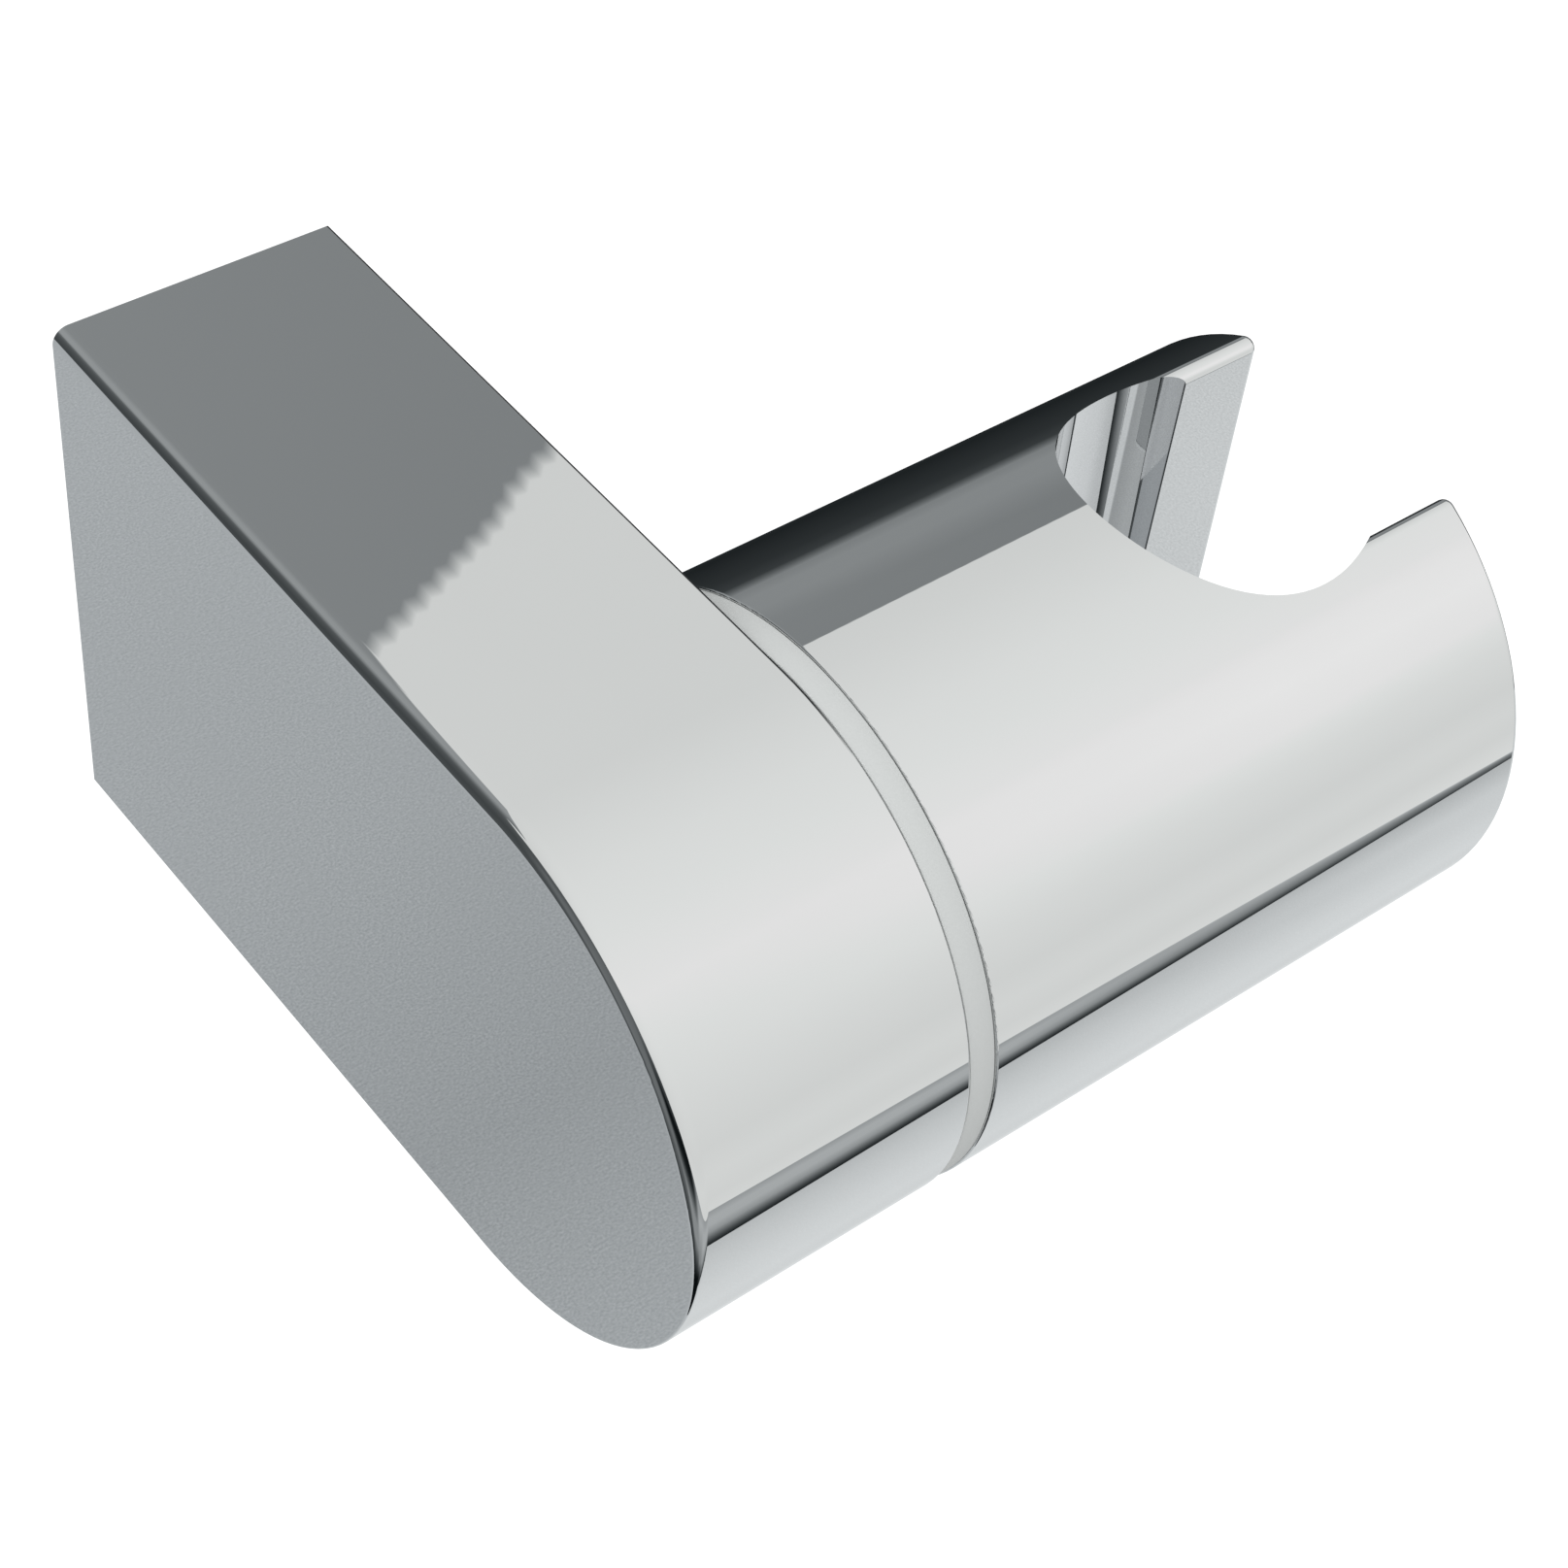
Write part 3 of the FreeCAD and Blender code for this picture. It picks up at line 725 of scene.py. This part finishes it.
def rolled(centre: Triple, axis: Triple, ring: float, radius: float) -> Surface:
    """Outer surface of a torus: an edge rounded over along a circle."""
    middle, along = np.array(centre, float), np.array(axis, float)

    def from_core(p: np.ndarray) -> np.ndarray:
        """Vectors from the ring's core line."""
        return p - middle - from_axis(p, middle, along)[2] * ring

    return Surface(lambda p: np.abs(np.linalg.norm(from_core(p), axis=1) - radius),
                   lambda p: unit(from_core(p)))


def fading_roll(side_x: float, axis_y: float, outer: float, edges: tuple[float, float],
                angles: tuple[float, float]) -> Surface:
    """Rounded rim of a nose about a line along X, facing -X, whose rounding fades on its way down.

    Args:
        side_x: Place of the flat side that the rounding starts from.
        axis_y: Place of the nose's axis.
        outer: Radius of the nose.
        edges: Rounding above the fade and below it.
        angles: Where the fade starts and ends, 90 at the top and 180 in front.

    Returns:
        The surface.
    """
    full, fine = edges
    start, end = (math.radians(angle) for angle in angles)

    def section(p: np.ndarray) -> tuple[np.ndarray, ...]:
        """Rounding, its growth along the nose, and each point's place in its own section."""
        y, z = p[:, 1] - axis_y, p[:, 2]
        angle = np.arctan2(z, y) % (2 * math.pi)
        way = np.clip((angle - start) / (end - start), 0.0, 1.0)
        edge = full + (fine - full) * way * way * (3 - 2 * way)
        growth = (fine - full) * 6 * way * (1 - way) / (end - start)
        distance = np.hypot(y, z)
        across, out = p[:, 0] - side_x - edge, distance - outer + edge
        return edge, growth, np.hypot(across, out), across, out, distance, angle

    def near(p: np.ndarray) -> np.ndarray:
        """Distance of points from the surface."""
        edge, _, reach, *_ = section(p)
        return np.abs(reach - edge)

    def normal(p: np.ndarray) -> np.ndarray:
        """Outward direction at points, leaning a little where the rounding fades."""
        _, growth, reach, across, out, distance, angle = section(p)
        reach = np.maximum(reach, 1e-9)
        side, rise = -across / reach, out / reach
        lean = growth * (side + rise - 1.0) / np.maximum(distance, 1e-9)
        return unit(np.stack([-side, rise * np.cos(angle) - lean * np.sin(angle),
                              rise * np.sin(angle) + lean * np.cos(angle)], 1))

    return Surface(near, normal)


@dataclass
class PolishedSkin:
    """Copy of a cast part whose shading follows its true curves, as polishing leaves it."""

    node: str
    body: str
    surfaces: list[Surface]
    finish_of: Callable[[np.ndarray], np.ndarray]
    tolerance: float = 0.004
    weld: float = 0.0005
    blend_angle: float = 55.0
    crease_angle: float = 42.0

    def build(self, name: str, finishes: Sequence[Material]) -> Object:
        """Makes the copy, gives it exact normals and lets it stand for the node.

        Args:
            name: Name of the new piece.
            finishes: The finish of its outside, then the finish of its machined or cast faces.

        Returns:
            The new piece.
        """
        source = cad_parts[self.node]
        mesh = source.data.copy()
        mesh.name = name
        kept_normals = mesh.attributes.get("custom_normal")
        if kept_normals is not None:
            mesh.attributes.remove(kept_normals)
        mesh.materials.clear()
        for finish in finishes:
            mesh.materials.append(finish)
        self.merge(mesh)
        self.share_out(mesh)
        mesh.normals_split_custom_set(self.corner_normals(mesh).tolist())
        piece = add_object(name, mesh)
        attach(piece, self.body)
        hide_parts(self.node)
        report(piece)
        return piece

    def share_out(self, mesh: Mesh) -> None:
        """Gives each face its finish, by where its middle lies."""
        middles = np.empty(len(mesh.polygons) * 3)
        mesh.polygons.foreach_get("center", middles)
        chosen = self.finish_of(middles.reshape(-1, 3) / MM).astype(int)
        mesh.polygons.foreach_set("material_index", chosen)

    def merge(self, mesh: Mesh) -> None:
        """Joins the loose triangles at their shared corners and shades them smooth."""
        work = bmesh.new()
        work.from_mesh(mesh)
        bmesh.ops.remove_doubles(work, verts=work.verts, dist=self.weld * MM)
        for part in (*work.edges, *work.faces):
            part.smooth = True
        work.to_mesh(mesh)
        work.free()

    def corner_normals(self, mesh: Mesh) -> np.ndarray:
        """Works out the shading direction of every face corner."""
        points = np.empty(len(mesh.vertices) * 3)
        mesh.vertices.foreach_get("co", points)
        points = points.reshape(-1, 3) / MM
        count = len(mesh.polygons)
        corners = np.empty(count * 3, int)
        mesh.loops.foreach_get("vertex_index", corners)
        triangles = corners.reshape(-1, 3)
        a, b, c = (points[triangles[:, i]] for i in range(3))
        normals = unit(np.cross(b - a, c - a))
        face_of = np.repeat(np.arange(count), 3)

        angles = []
        for near, left, right in ((a, b, c), (b, c, a), (c, a, b)):
            cosine = (unit(left - near) * unit(right - near)).sum(1)
            angles.append(np.arccos(np.clip(cosine, -1, 1)))
        weight = np.stack(angles, 1).ravel()

        order = np.argsort(corners, kind="stable")
        starts = np.searchsorted(corners[order], np.arange(len(points) + 1))
        limit = math.cos(math.radians(self.crease_angle))
        smooth = normals[face_of].copy()
        for vertex in range(len(points)):
            group = order[starts[vertex]:starts[vertex + 1]]
            facing = normals[face_of[group]]
            share = (facing @ facing.T > limit) * weight[group][None, :]
            smooth[group] = unit(share @ facing)

        best = np.full(len(corners), math.cos(math.radians(self.blend_angle)))
        result = smooth
        places = points[corners]
        for surface in self.surfaces:
            on_it = surface.near(points)[corners] < self.tolerance
            if not on_it.any():
                continue
            exact = surface.normal(places)
            match = (exact * normals[face_of]).sum(1)
            take = on_it & (match > best)
            result[take] = exact[take]
            best[take] = match[take]
        return result


# Finishes

class Effect(Enum):
    """Surface effects that the materials share, each a node group."""

    POLISH = "polishing_haze"
    # Polishing haze, and a painted dark line along the housing's top edge in place of that edge's
    # dark reflection.
    HAZE_AND_PAINTED_EDGE_LINE = "polishing_haze_and_painted_edge_line"
    # Seat wear, and a painted dark line where the seat meets the slot walls, in place of a dark
    # reflection.
    SEAT = "rod_wear_and_painted_corner_line"
    TURNING = "turning_marks"
    ROLLING = "rolling_lines"
    CASTING = "cast_skin"
    MOULDING = "moulded_grain"
    CELLS = "foam_cells"
    THREAD = "screw_thread"


def shader_group(name: str, inputs: Sequence[str], outputs: Sequence[str],
                 fill: Callable[..., Sequence[Any]]) -> NodeTree:
    """Gives a shared shader group, built on first use.

    Args:
        name: Name of the group.
        inputs: Names of its inputs, all plain numbers.
        outputs: Names of its outputs: Normal is a vector, the others are numbers.
        fill: Takes a point's place in millimetres and the inputs, and gives the outputs.

    Returns:
        The group.
    """
    tree = bpy.data.node_groups.get(name)
    if tree is not None:
        return tree
    tree = bpy.data.node_groups.new(name, "ShaderNodeTree")
    for given in inputs:
        tree.interface.new_socket(given, in_out="INPUT", socket_type="NodeSocketFloat")
    for given in outputs:
        kind = "NodeSocketVector" if given == "Normal" else "NodeSocketFloat"
        tree.interface.new_socket(given, in_out="OUTPUT", socket_type=kind)
    entry = add_node(tree, "NodeGroupInput")
    place = separate(add_node(tree, "ShaderNodeTexCoord").outputs["Object"])
    place = tuple(part / MM for part in place)
    results = fill(place, *(Formula(entry.outputs[given]) for given in inputs))
    add_node(tree, "NodeGroupOutput", dict(zip(outputs, results)))
    return tree


@dataclass(frozen=True)
class EffectGroups:
    """Builds the shared node groups. An effect takes a pitch and a depth in millimetres and
    puts out a mask from 0 to 1 and a normal."""

    pivot_y: float = -49.3
    thread_span: Span = (0.4, 0.2)
    thread_r: Span = (2.8, 2.9)
    # Where the seat's painted dark corner line lies, standing in for a dark reflection: across from
    # the pivot, and along X.
    painted_corner_line_across: Span = (8.98, 8.94)
    painted_corner_line_along: Span = (49.0, 50.0)
    seat_share: float = 0.14
    # Where the housing's painted dark edge line lies, standing in for a dark reflection, and the
    # share of haze in that finish.
    painted_edge_line_start: Span = (10.10, 10.13)
    painted_edge_line_end: Span = (10.29, 10.275)
    painted_edge_line_height: Span = (19.8, 20.8)
    painted_edge_line_haze_share: float = 0.014
    bare_match: Span = (0.985, 0.9)

    def group(self, effect: Effect) -> NodeTree:
        """Gives the group of an effect, built on first use."""

        def fill(place: Sequence[Formula], pitch: Formula, depth: Formula) -> Sequence[Any]:
            """Mask and normal at a place."""
            mask = self.pattern(effect, place, pitch)
            bump = add_node(mask.tree, "ShaderNodeBump", {"Distance": depth * MM, "Height": mask})
            return mask, bump.outputs["Normal"]

        return shader_group(effect.value, ("Pitch", "Depth"), ("Mask", "Normal"), fill)

    def pattern(self, effect: Effect, place: Sequence[Formula], pitch: Formula) -> Formula:
        """Builds the mask of an effect.

        Args:
            effect: Which one.
            place: Place along the pivot, towards the wall and upwards, in millimetres.
            pitch: Distance between features.

        Returns:
            Mask from 0 to 1.
        """
        x, y, z = place
        even = across, back, up = tuple(part / pitch for part in place)
        if effect in (Effect.POLISH, Effect.HAZE_AND_PAINTED_EDGE_LINE):
            haze = grain(place, 0.06, 3.0).between(0.35, 0.7)
            hairlines = grain((across * 0.04 + up, back + across * 0.3, up * 0.05), 1.0, 1.0)
            polish = (haze * 0.6 + hairlines.between(0.62, 0.75) * 0.4).at_most(1.0)
            if effect is Effect.POLISH:
                return polish
            # Painted dark line on the housing's top edge beside the ring, standing in for the dark
            # reflection of its fine rounding.
            rim = x.between(*self.painted_edge_line_start) * x.between(*self.painted_edge_line_end)
            return (polish * self.painted_edge_line_haze_share).at_least(rim * z.between(*self.painted_edge_line_height))
        if effect is Effect.ROLLING:
            return grain((across, back, up * 0.06), 1.0, 3.0).between(0.25, 0.75)
        if effect is Effect.CELLS:
            cells = {"Vector": join(*even), "Scale": 1.0}
            return reckon(x.tree, "ShaderNodeTexVoronoi", cells, "Distance").between(0.1, 0.6)
        from_pivot = y - self.pivot_y
        if effect is Effect.SEAT:
            # Painted dark line in the seat's corners with the slot walls, standing in for a dark
            # reflection; the grain below is real wear.
            corner = from_pivot.step("ABSOLUTE").between(*self.painted_corner_line_across)
            corner = corner * x.between(*self.painted_corner_line_along)
            return (grain(even, 1.0, 2.0).between(0.3, 0.7) * self.seat_share).at_least(corner)
        radius = (from_pivot.power(2.0) + z.power(2.0)).power(0.5)
        around = z.angle_from(from_pivot)
        if effect is Effect.TURNING:
            return grain(((x + radius) / pitch, around * 0.6), 1.0, 2.0).between(0.25, 0.75)
        if effect is Effect.THREAD:
            ridge = (across + around / (2 * math.pi)).step("PINGPONG", 0.5) * 2
            marks = grain(((x + radius) * 6, around * 0.6), 1.0, 2.0) * 0.15
            return ridge * (x.between(*self.thread_span) * radius.between(*self.thread_r)) + marks
        if effect is Effect.CASTING:
            swirl = grain(place, 0.22, 2.0)
            return (grain(even, 1.0, 4.0) * 0.65 + swirl * 0.35).between(0.3, 0.7)
        return grain(even, 1.0, 2.0).between(0.3, 0.7)

    def worn_edges(self) -> NodeTree:
        """Gives the group that finds edges rubbed bare, built on first use."""

        def fill(place: Sequence[Formula], width: Formula) -> Sequence[Any]:
            """Mask of the bare edges, broken up in patches."""
            rounded = add_node(width.tree, "ShaderNodeBevel", {"Radius": width * MM}, samples=4)
            facing = add_node(width.tree, "ShaderNodeNewGeometry")
            normals = {0: rounded.outputs["Normal"], 1: facing.outputs["Normal"]}
            match = reckon(width.tree, "ShaderNodeVectorMath", normals, "Value",
                           operation="DOT_PRODUCT")
            bare = match.between(*self.bare_match)
            return (bare * grain(place, 0.8, 3.0).between(0.35, 0.6),)

        return shader_group("worn_edges", ("Width",), ("Mask",), fill)


@dataclass(frozen=True)
class Finish:
    """A finish: two close colours and two roughnesses mixed by an effect, with worn edges."""

    name: str
    colour: Triple
    second: Triple
    smooth: float
    rough: float
    effect: Effect
    pitch: float
    depth: float = 0.0
    metallic: float = 0.0
    worn: Triple | None = None
    worn_width: float = 0.25
    gloss: float = 0.5

    @cache
    def build(self) -> Material:
        """Makes the material on the first call and gives it again on later ones."""
        material = empty_material(self.name)
        tree = material.node_tree
        texture = add_node(tree, "ShaderNodeGroup", {"Pitch": self.pitch, "Depth": self.depth},
                           node_tree=EffectGroups().group(self.effect))
        mask = texture.outputs["Mask"]
        colour = self.mix(mask, self.colour, self.second)
        if self.worn is not None:
            edges = add_node(tree, "ShaderNodeGroup", {"Width": self.worn_width},
                             node_tree=EffectGroups().worn_edges())
            colour = self.mix(edges.outputs["Mask"], colour, self.worn)
        body = add_node(tree, "ShaderNodeBsdfPrincipled", {
            "Metallic": self.metallic, "Specular IOR Level": self.gloss, "Base Color": colour,
            "Roughness": Formula(mask) * (self.rough - self.smooth) + self.smooth,
        })
        if self.depth > 0.0:
            feed(body, {"Normal": texture.outputs["Normal"]})
        add_node(tree, "ShaderNodeOutputMaterial", {"Surface": body.outputs[0]})
        return material

    @staticmethod
    def mix(mask: NodeSocket, first: Triple | NodeSocket, second: Triple) -> NodeSocket:
        """Mixes a second colour in where the mask is 1."""
        node = add_node(mask.id_data, "ShaderNodeMix", {"Factor": mask}, data_type="RGBA")
        places = [place for place, socket in enumerate(node.inputs) if socket.type == "RGBA"]
        feed(node, dict(zip(places, (first, second))))
        return next(socket for socket in node.outputs if socket.type == "RGBA")


BRIGHT_CHROME = Finish(
    "bright_chrome", CHROME, (0.79, 0.797, 0.80), 0.006, 0.018, Effect.POLISH, 0.05, metallic=1.0)
# The second colour is the painted dark edge line, in place of a dark reflection, with a faint share
# of polishing haze.
HOUSING_CHROME = Finish(
    "chrome_with_painted_edge_line", CHROME, (0.06, 0.063, 0.066), 0.006, 0.85, Effect.HAZE_AND_PAINTED_EDGE_LINE, 0.05, metallic=1.0)
# The second colour is seat wear and the painted dark corner line, which stands in for a dark
# reflection.
SEAT_CHROME = Finish(
    "worn_seat_chrome_with_painted_corner_line", (0.82, 0.826, 0.832), (0.08, 0.083, 0.087), 0.015, 0.12, Effect.SEAT, 0.09,
    metallic=1.0)
RING_PLASTIC = Finish(
    "grey_ring_plastic", (0.572, 0.59, 0.584), (0.557, 0.575, 0.569), 0.6, 0.75, Effect.MOULDING,
    0.15, 0.0004, gloss=0.15)
PLATED_SHEET = Finish(
    "zinc_plated_sheet", (0.66, 0.67, 0.68), (0.55, 0.565, 0.585), 0.28, 0.42, Effect.ROLLING,
    0.12, 0.002, 1.0, (0.78, 0.79, 0.80))
TURNED_STEEL = Finish(
    "oiled_turned_steel", (0.60, 0.60, 0.60), (0.47, 0.465, 0.455), 0.2, 0.36, Effect.TURNING,
    0.14, 0.004, 1.0, (0.74, 0.74, 0.74))
THREADED_STEEL = Finish(
    "threaded_steel", (0.60, 0.60, 0.60), (0.40, 0.395, 0.385), 0.22, 0.4, Effect.THREAD, 1.0, 0.3,
    1.0)
BLUED_SPRING = Finish(
    "blued_spring_steel", (0.24, 0.25, 0.30), (0.16, 0.165, 0.19), 0.25, 0.4, Effect.TURNING, 0.25,
    0.003, 1.0, (0.52, 0.52, 0.52))
CAST_ZINC = Finish(
    "bare_cast_zinc", (0.52, 0.53, 0.54), (0.36, 0.37, 0.38), 0.45, 0.68, Effect.CASTING, 0.35,
    0.03, 1.0, (0.66, 0.67, 0.68))
TURNED_BRASS = Finish(
    "turned_brass", (0.78, 0.62, 0.33), (0.64, 0.48, 0.23), 0.22, 0.38, Effect.TURNING, 0.16,
    0.004, 1.0, (0.88, 0.74, 0.45))
WAXY_ACETAL = Finish(
    "waxy_acetal", (0.86, 0.85, 0.81), (0.80, 0.79, 0.745), 0.32, 0.42, Effect.TURNING, 0.3, 0.002)
MOULDED_NYLON = Finish(
    "moulded_nylon", (0.80, 0.80, 0.77), (0.72, 0.715, 0.68), 0.4, 0.55, Effect.MOULDING, 0.2,
    0.006)
PAD_FOAM = Finish(
    "closed_cell_foam", (0.10, 0.10, 0.105), (0.26, 0.26, 0.27), 0.85, 0.95, Effect.CELLS, 0.35,
    0.08)
SEAL_RUBBER = Finish(
    "black_seal_rubber", (0.028, 0.028, 0.028), (0.05, 0.05, 0.048), 0.4, 0.6, Effect.MOULDING,
    0.15, 0.004)


# The holder

SCREW_SIZES = {
    "Shank Radius": 2.0 * MM, "Pitch": 0.7 * MM, "Thread Depth": 0.4 * MM,
    "Head Radius": 3.75 * MM, "Socket Flats": 2.5 * MM, "Socket Depth": 1.5 * MM,
}


def about_pivot(x: float, y: float) -> Matrix:
    """Lays a piece made about Z along the pivot, from a place in millimetres onwards."""
    return Matrix(((0, 0, 1, x * MM), (0, -1, 0, y * MM), (1, 0, 0, 0), (0, 0, 0, 1)))


def dress(finishes: dict[str, Finish]) -> None:
    """Puts finishes on CAD nodes that keep their own shape."""
    for name, finish in finishes.items():
        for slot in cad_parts[name].material_slots:
            slot.material = finish.build()
        LOG.info("%s: %s", name, finish.name)


@dataclass
class Base:
    """Hollow base on the wall, with its friction ring and locking screw."""

    width: float = 20.6
    body_r: float = 21.0
    pivot_y: float = -49.3
    side_edge: float = 1.2
    fine_edge: float = 0.15
    fade_angles: tuple[float, float] = (150.0, 196.0)
    skin_depth: float = 0.6
    wall_rim: float = 0.05
    ring_near: float = 10.43
    ring_far: float = 12.38
    ring_r: float = 20.85
    ring_bore_r: float = 12.5
    ring_edge: float = 0.08
    spigot_r: tuple[float, float] = (15.0, 18.0)
    spigot_x: float = 9.45
    ring_segments: int = 192
    lock_place: Triple = (0.0, -8.0, -20.85)
    lock_length: float = 10.0

    def build(self) -> None:
        """Makes the base's pieces and dresses its CAD nodes."""
        finishes = [HOUSING_CHROME.build(), CAST_ZINC.build()]
        skin = PolishedSkin("base_housing", "base", self.surfaces(), self.inside)
        skin.build("housing_skin", finishes)
        self.friction_ring()
        self.lock_screw()
        dress({"pivot_bush": WAXY_ACETAL, "inner_friction_disc": WAXY_ACETAL})

    def surfaces(self) -> list[Surface]:
        """Outer surfaces of the housing."""
        half, r, y = self.width / 2, self.body_r, self.pivot_y
        side, fine = self.side_edge, self.fine_edge
        along_x, along_y = (1.0, 0.0, 0.0), (0.0, 1.0, 0.0)
        found = [
            flat((-1, 0, 0), half), flat((1, 0, 0), half),
            flat((0, 0, 1), r), flat((0, 0, -1), r),
            turned((0, y, 0), along_x, r),
            fading_roll(-half, y, r, (side, fine), self.fade_angles),
            turned((-half + side, y, r - side), along_y, side),
            turned((-half + fine, y, fine - r), along_y, fine),
            rolled((half - fine, y, 0), along_x, r - fine, fine),
        ]
        for sign in (-1, 1):
            found.append(turned((half - fine, y, sign * (r - fine)), along_y, fine))
        return found

    def inside(self, middles: np.ndarray) -> np.ndarray:
        """Tells the cast inner faces from the plated outer ones."""
        x, y, z = middles.T
        out = np.where(y > self.pivot_y, np.abs(z), np.hypot(y - self.pivot_y, z))
        within = np.abs(x) < self.width / 2 - self.skin_depth
        return within & (out < self.body_r - self.skin_depth) & (y < -self.wall_rim)

    def friction_ring(self) -> Object:
        """Turns the grey ring between base and cradle."""
        piece = turned_ring_rule().make("friction_ring_turned", {
            "Outer Radius": self.ring_r * MM,
            "Bore Radius": self.ring_bore_r * MM,
            "Thickness": (self.ring_far - self.ring_near) * MM,
            "Rim Rounding": self.ring_edge * MM,
            "Segments": self.ring_segments,
            "Spigot Outer Radius": self.spigot_r[1] * MM,
            "Spigot Inner Radius": self.spigot_r[0] * MM,
            "Spigot Depth": (self.ring_near - self.spigot_x) * MM,
            "Land Depth": (self.ring_near - self.width / 2) * MM,
            "Finish": RING_PLASTIC.build(),
        }, about_pivot(self.ring_near, self.pivot_y))
        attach(piece, "base")
        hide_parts("friction_ring")
        report(piece)
        return piece

    def lock_screw(self) -> Object:
        """Makes the screw that locks the base on its wall plate from below."""
        piece = countersunk_screw_rule().make("lock_screw_threaded", {
            **SCREW_SIZES, "Length": self.lock_length * MM, "Number": 1, "Circle Radius": 0.0,
            "Finish": TURNED_STEEL.build(),
        }, Matrix.Translation(Vector(self.lock_place) * MM))
        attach(piece, "base")
        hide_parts("lock_screw")
        report(piece)
        return piece


@dataclass
class Cradle:
    """Round cradle with its tapered seat and slot, and the hub screws in its inner end."""

    start_x: float = 12.4
    end_x: float = 58.65
    body_r: float = 21.0
    pivot_y: float = -49.3
    seat_x: float = 46.15
    seat_top_r: float = 10.65
    seat_bottom_r: float = 10.2
    slot_width: float = 17.8
    slot_edge: float = 0.8
    end_edge: float = 0.55
    start_edge: float = 0.15
    pocket_r: float = 17.1
    pocket_depth: float = 22.0
    skin_depth: float = 0.05
    screw_x: float = 12.5
    screw_circle: float = 12.65
    screw_length: float = 14.0
    screw_number: int = 3

    def build(self) -> None:
        """Makes the cradle's pieces and dresses its CAD nodes."""
        finishes = [finish.build() for finish in (BRIGHT_CHROME, SEAT_CHROME, CAST_ZINC)]
        skin = PolishedSkin("cradle_body", "cradle", self.surfaces(), self.worked)
        skin.build("cradle_skin", finishes)
        self.hub_screws()
        dress({"cradle_hub": CAST_ZINC, "pivot_seal": SEAL_RUBBER})

    def seat(self) -> Surface:
        """The tapered seat's wall."""
        slope = (self.seat_top_r - self.seat_bottom_r) / (2 * self.body_r)
        return turned((self.seat_x, self.pivot_y, -self.body_r), (0.0, 0.0, 1.0),
                      self.seat_bottom_r, slope, inside=True)

    def surfaces(self) -> list[Surface]:
        """Outer surfaces, seat and slot."""
        r, y = self.body_r, self.pivot_y
        start, end = self.start_x + self.start_edge, self.end_x - self.end_edge
        along_x, along_z = (1.0, 0.0, 0.0), (0.0, 0.0, 1.0)
        found = [
            turned((0, y, 0), along_x, r),
            flat((-1, 0, 0), -self.start_x), flat((1, 0, 0), self.end_x),
            rolled((start, y, 0), along_x, r - self.start_edge, self.start_edge),
            rolled((end, y, 0), along_x, r - self.end_edge, self.end_edge),
            self.seat(),
        ]
        for side in (-1, 1):
            wall = y + side * self.slot_width / 2
            found.append(flat((0, -side, 0), -side * wall))
            core = wall + side * self.slot_edge
            rise = math.sqrt((r - self.slot_edge) ** 2 - (core - y) ** 2)
            for up in (-1, 1):
                found.append(turned((0, core, up * rise), along_x, self.slot_edge))
            found.append(turned((end, wall + side * self.end_edge, 0), along_z, self.end_edge))
        return found

    def worked(self, middles: np.ndarray) -> np.ndarray:
        """Tells the seat, worn and with painted dark corner lines (1), and the hub's cast pocket
        (2) from the outside (0).
        """
        x, y, z = middles.T
        from_axis = np.hypot(y - self.pivot_y, z)
        pocket = (from_axis < self.pocket_r) & (x < self.start_x + self.pocket_depth)
        on_seat = self.seat().near(middles) < self.skin_depth
        seat = on_seat & (from_axis < self.body_r - self.skin_depth)
        return np.where(pocket, 2, np.where(seat, 1, 0))

    def hub_screws(self) -> Object:
        """Makes the three screws that hold the hub in the cradle."""
        piece = countersunk_screw_rule().make("hub_screws_threaded", {
            **SCREW_SIZES, "Length": self.screw_length * MM, "Number": self.screw_number,
            "Circle Radius": self.screw_circle * MM, "Finish": TURNED_STEEL.build(),
        }, about_pivot(self.screw_x, self.pivot_y))
        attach(piece, "cradle")
        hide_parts("hub_screws")
        report(piece)
        return piece


@dataclass
class DressedNodes:
    """A sub-assembly of CAD nodes that keep their shape, each with its finish."""

    finishes: dict[str, Finish]

    def build(self) -> None:
        """Dresses them all."""
        dress(self.finishes)


@dataclass
class PivotStack(DressedNodes):
    """Friction pivot on the shaft."""

    finishes: dict[str, Finish] = field(default_factory=lambda: {
        "pivot_shaft": THREADED_STEEL,
        "thrust_washer": TURNED_STEEL,
        "disc_spring_inner": BLUED_SPRING,
        "disc_spring_outer": BLUED_SPRING,
        "flat_washer": TURNED_STEEL,
        "lock_nut": TURNED_STEEL,
        "nut_ring": MOULDED_NYLON,
    })


@dataclass
class WallFixing(DressedNodes):
    """Folded plate on the wall with its pad, levelling bushes and clinch nut."""

    finishes: dict[str, Finish] = field(default_factory=lambda: {
        "wall_plate": PLATED_SHEET,
        "wall_pad": PAD_FOAM,
        "screw_bushes": MOULDED_NYLON,
        "clinch_nut": TURNED_BRASS,
    })


def main() -> None:
    """Builds the studio and every sub-assembly in order."""
    logging.basicConfig(level=logging.INFO, format="%(message)s")
    Studio().build()
    for assembly in (Base(), Cradle(), PivotStack(), WallFixing()):
        assembly.build()


if __name__ == "__main__":
    main()
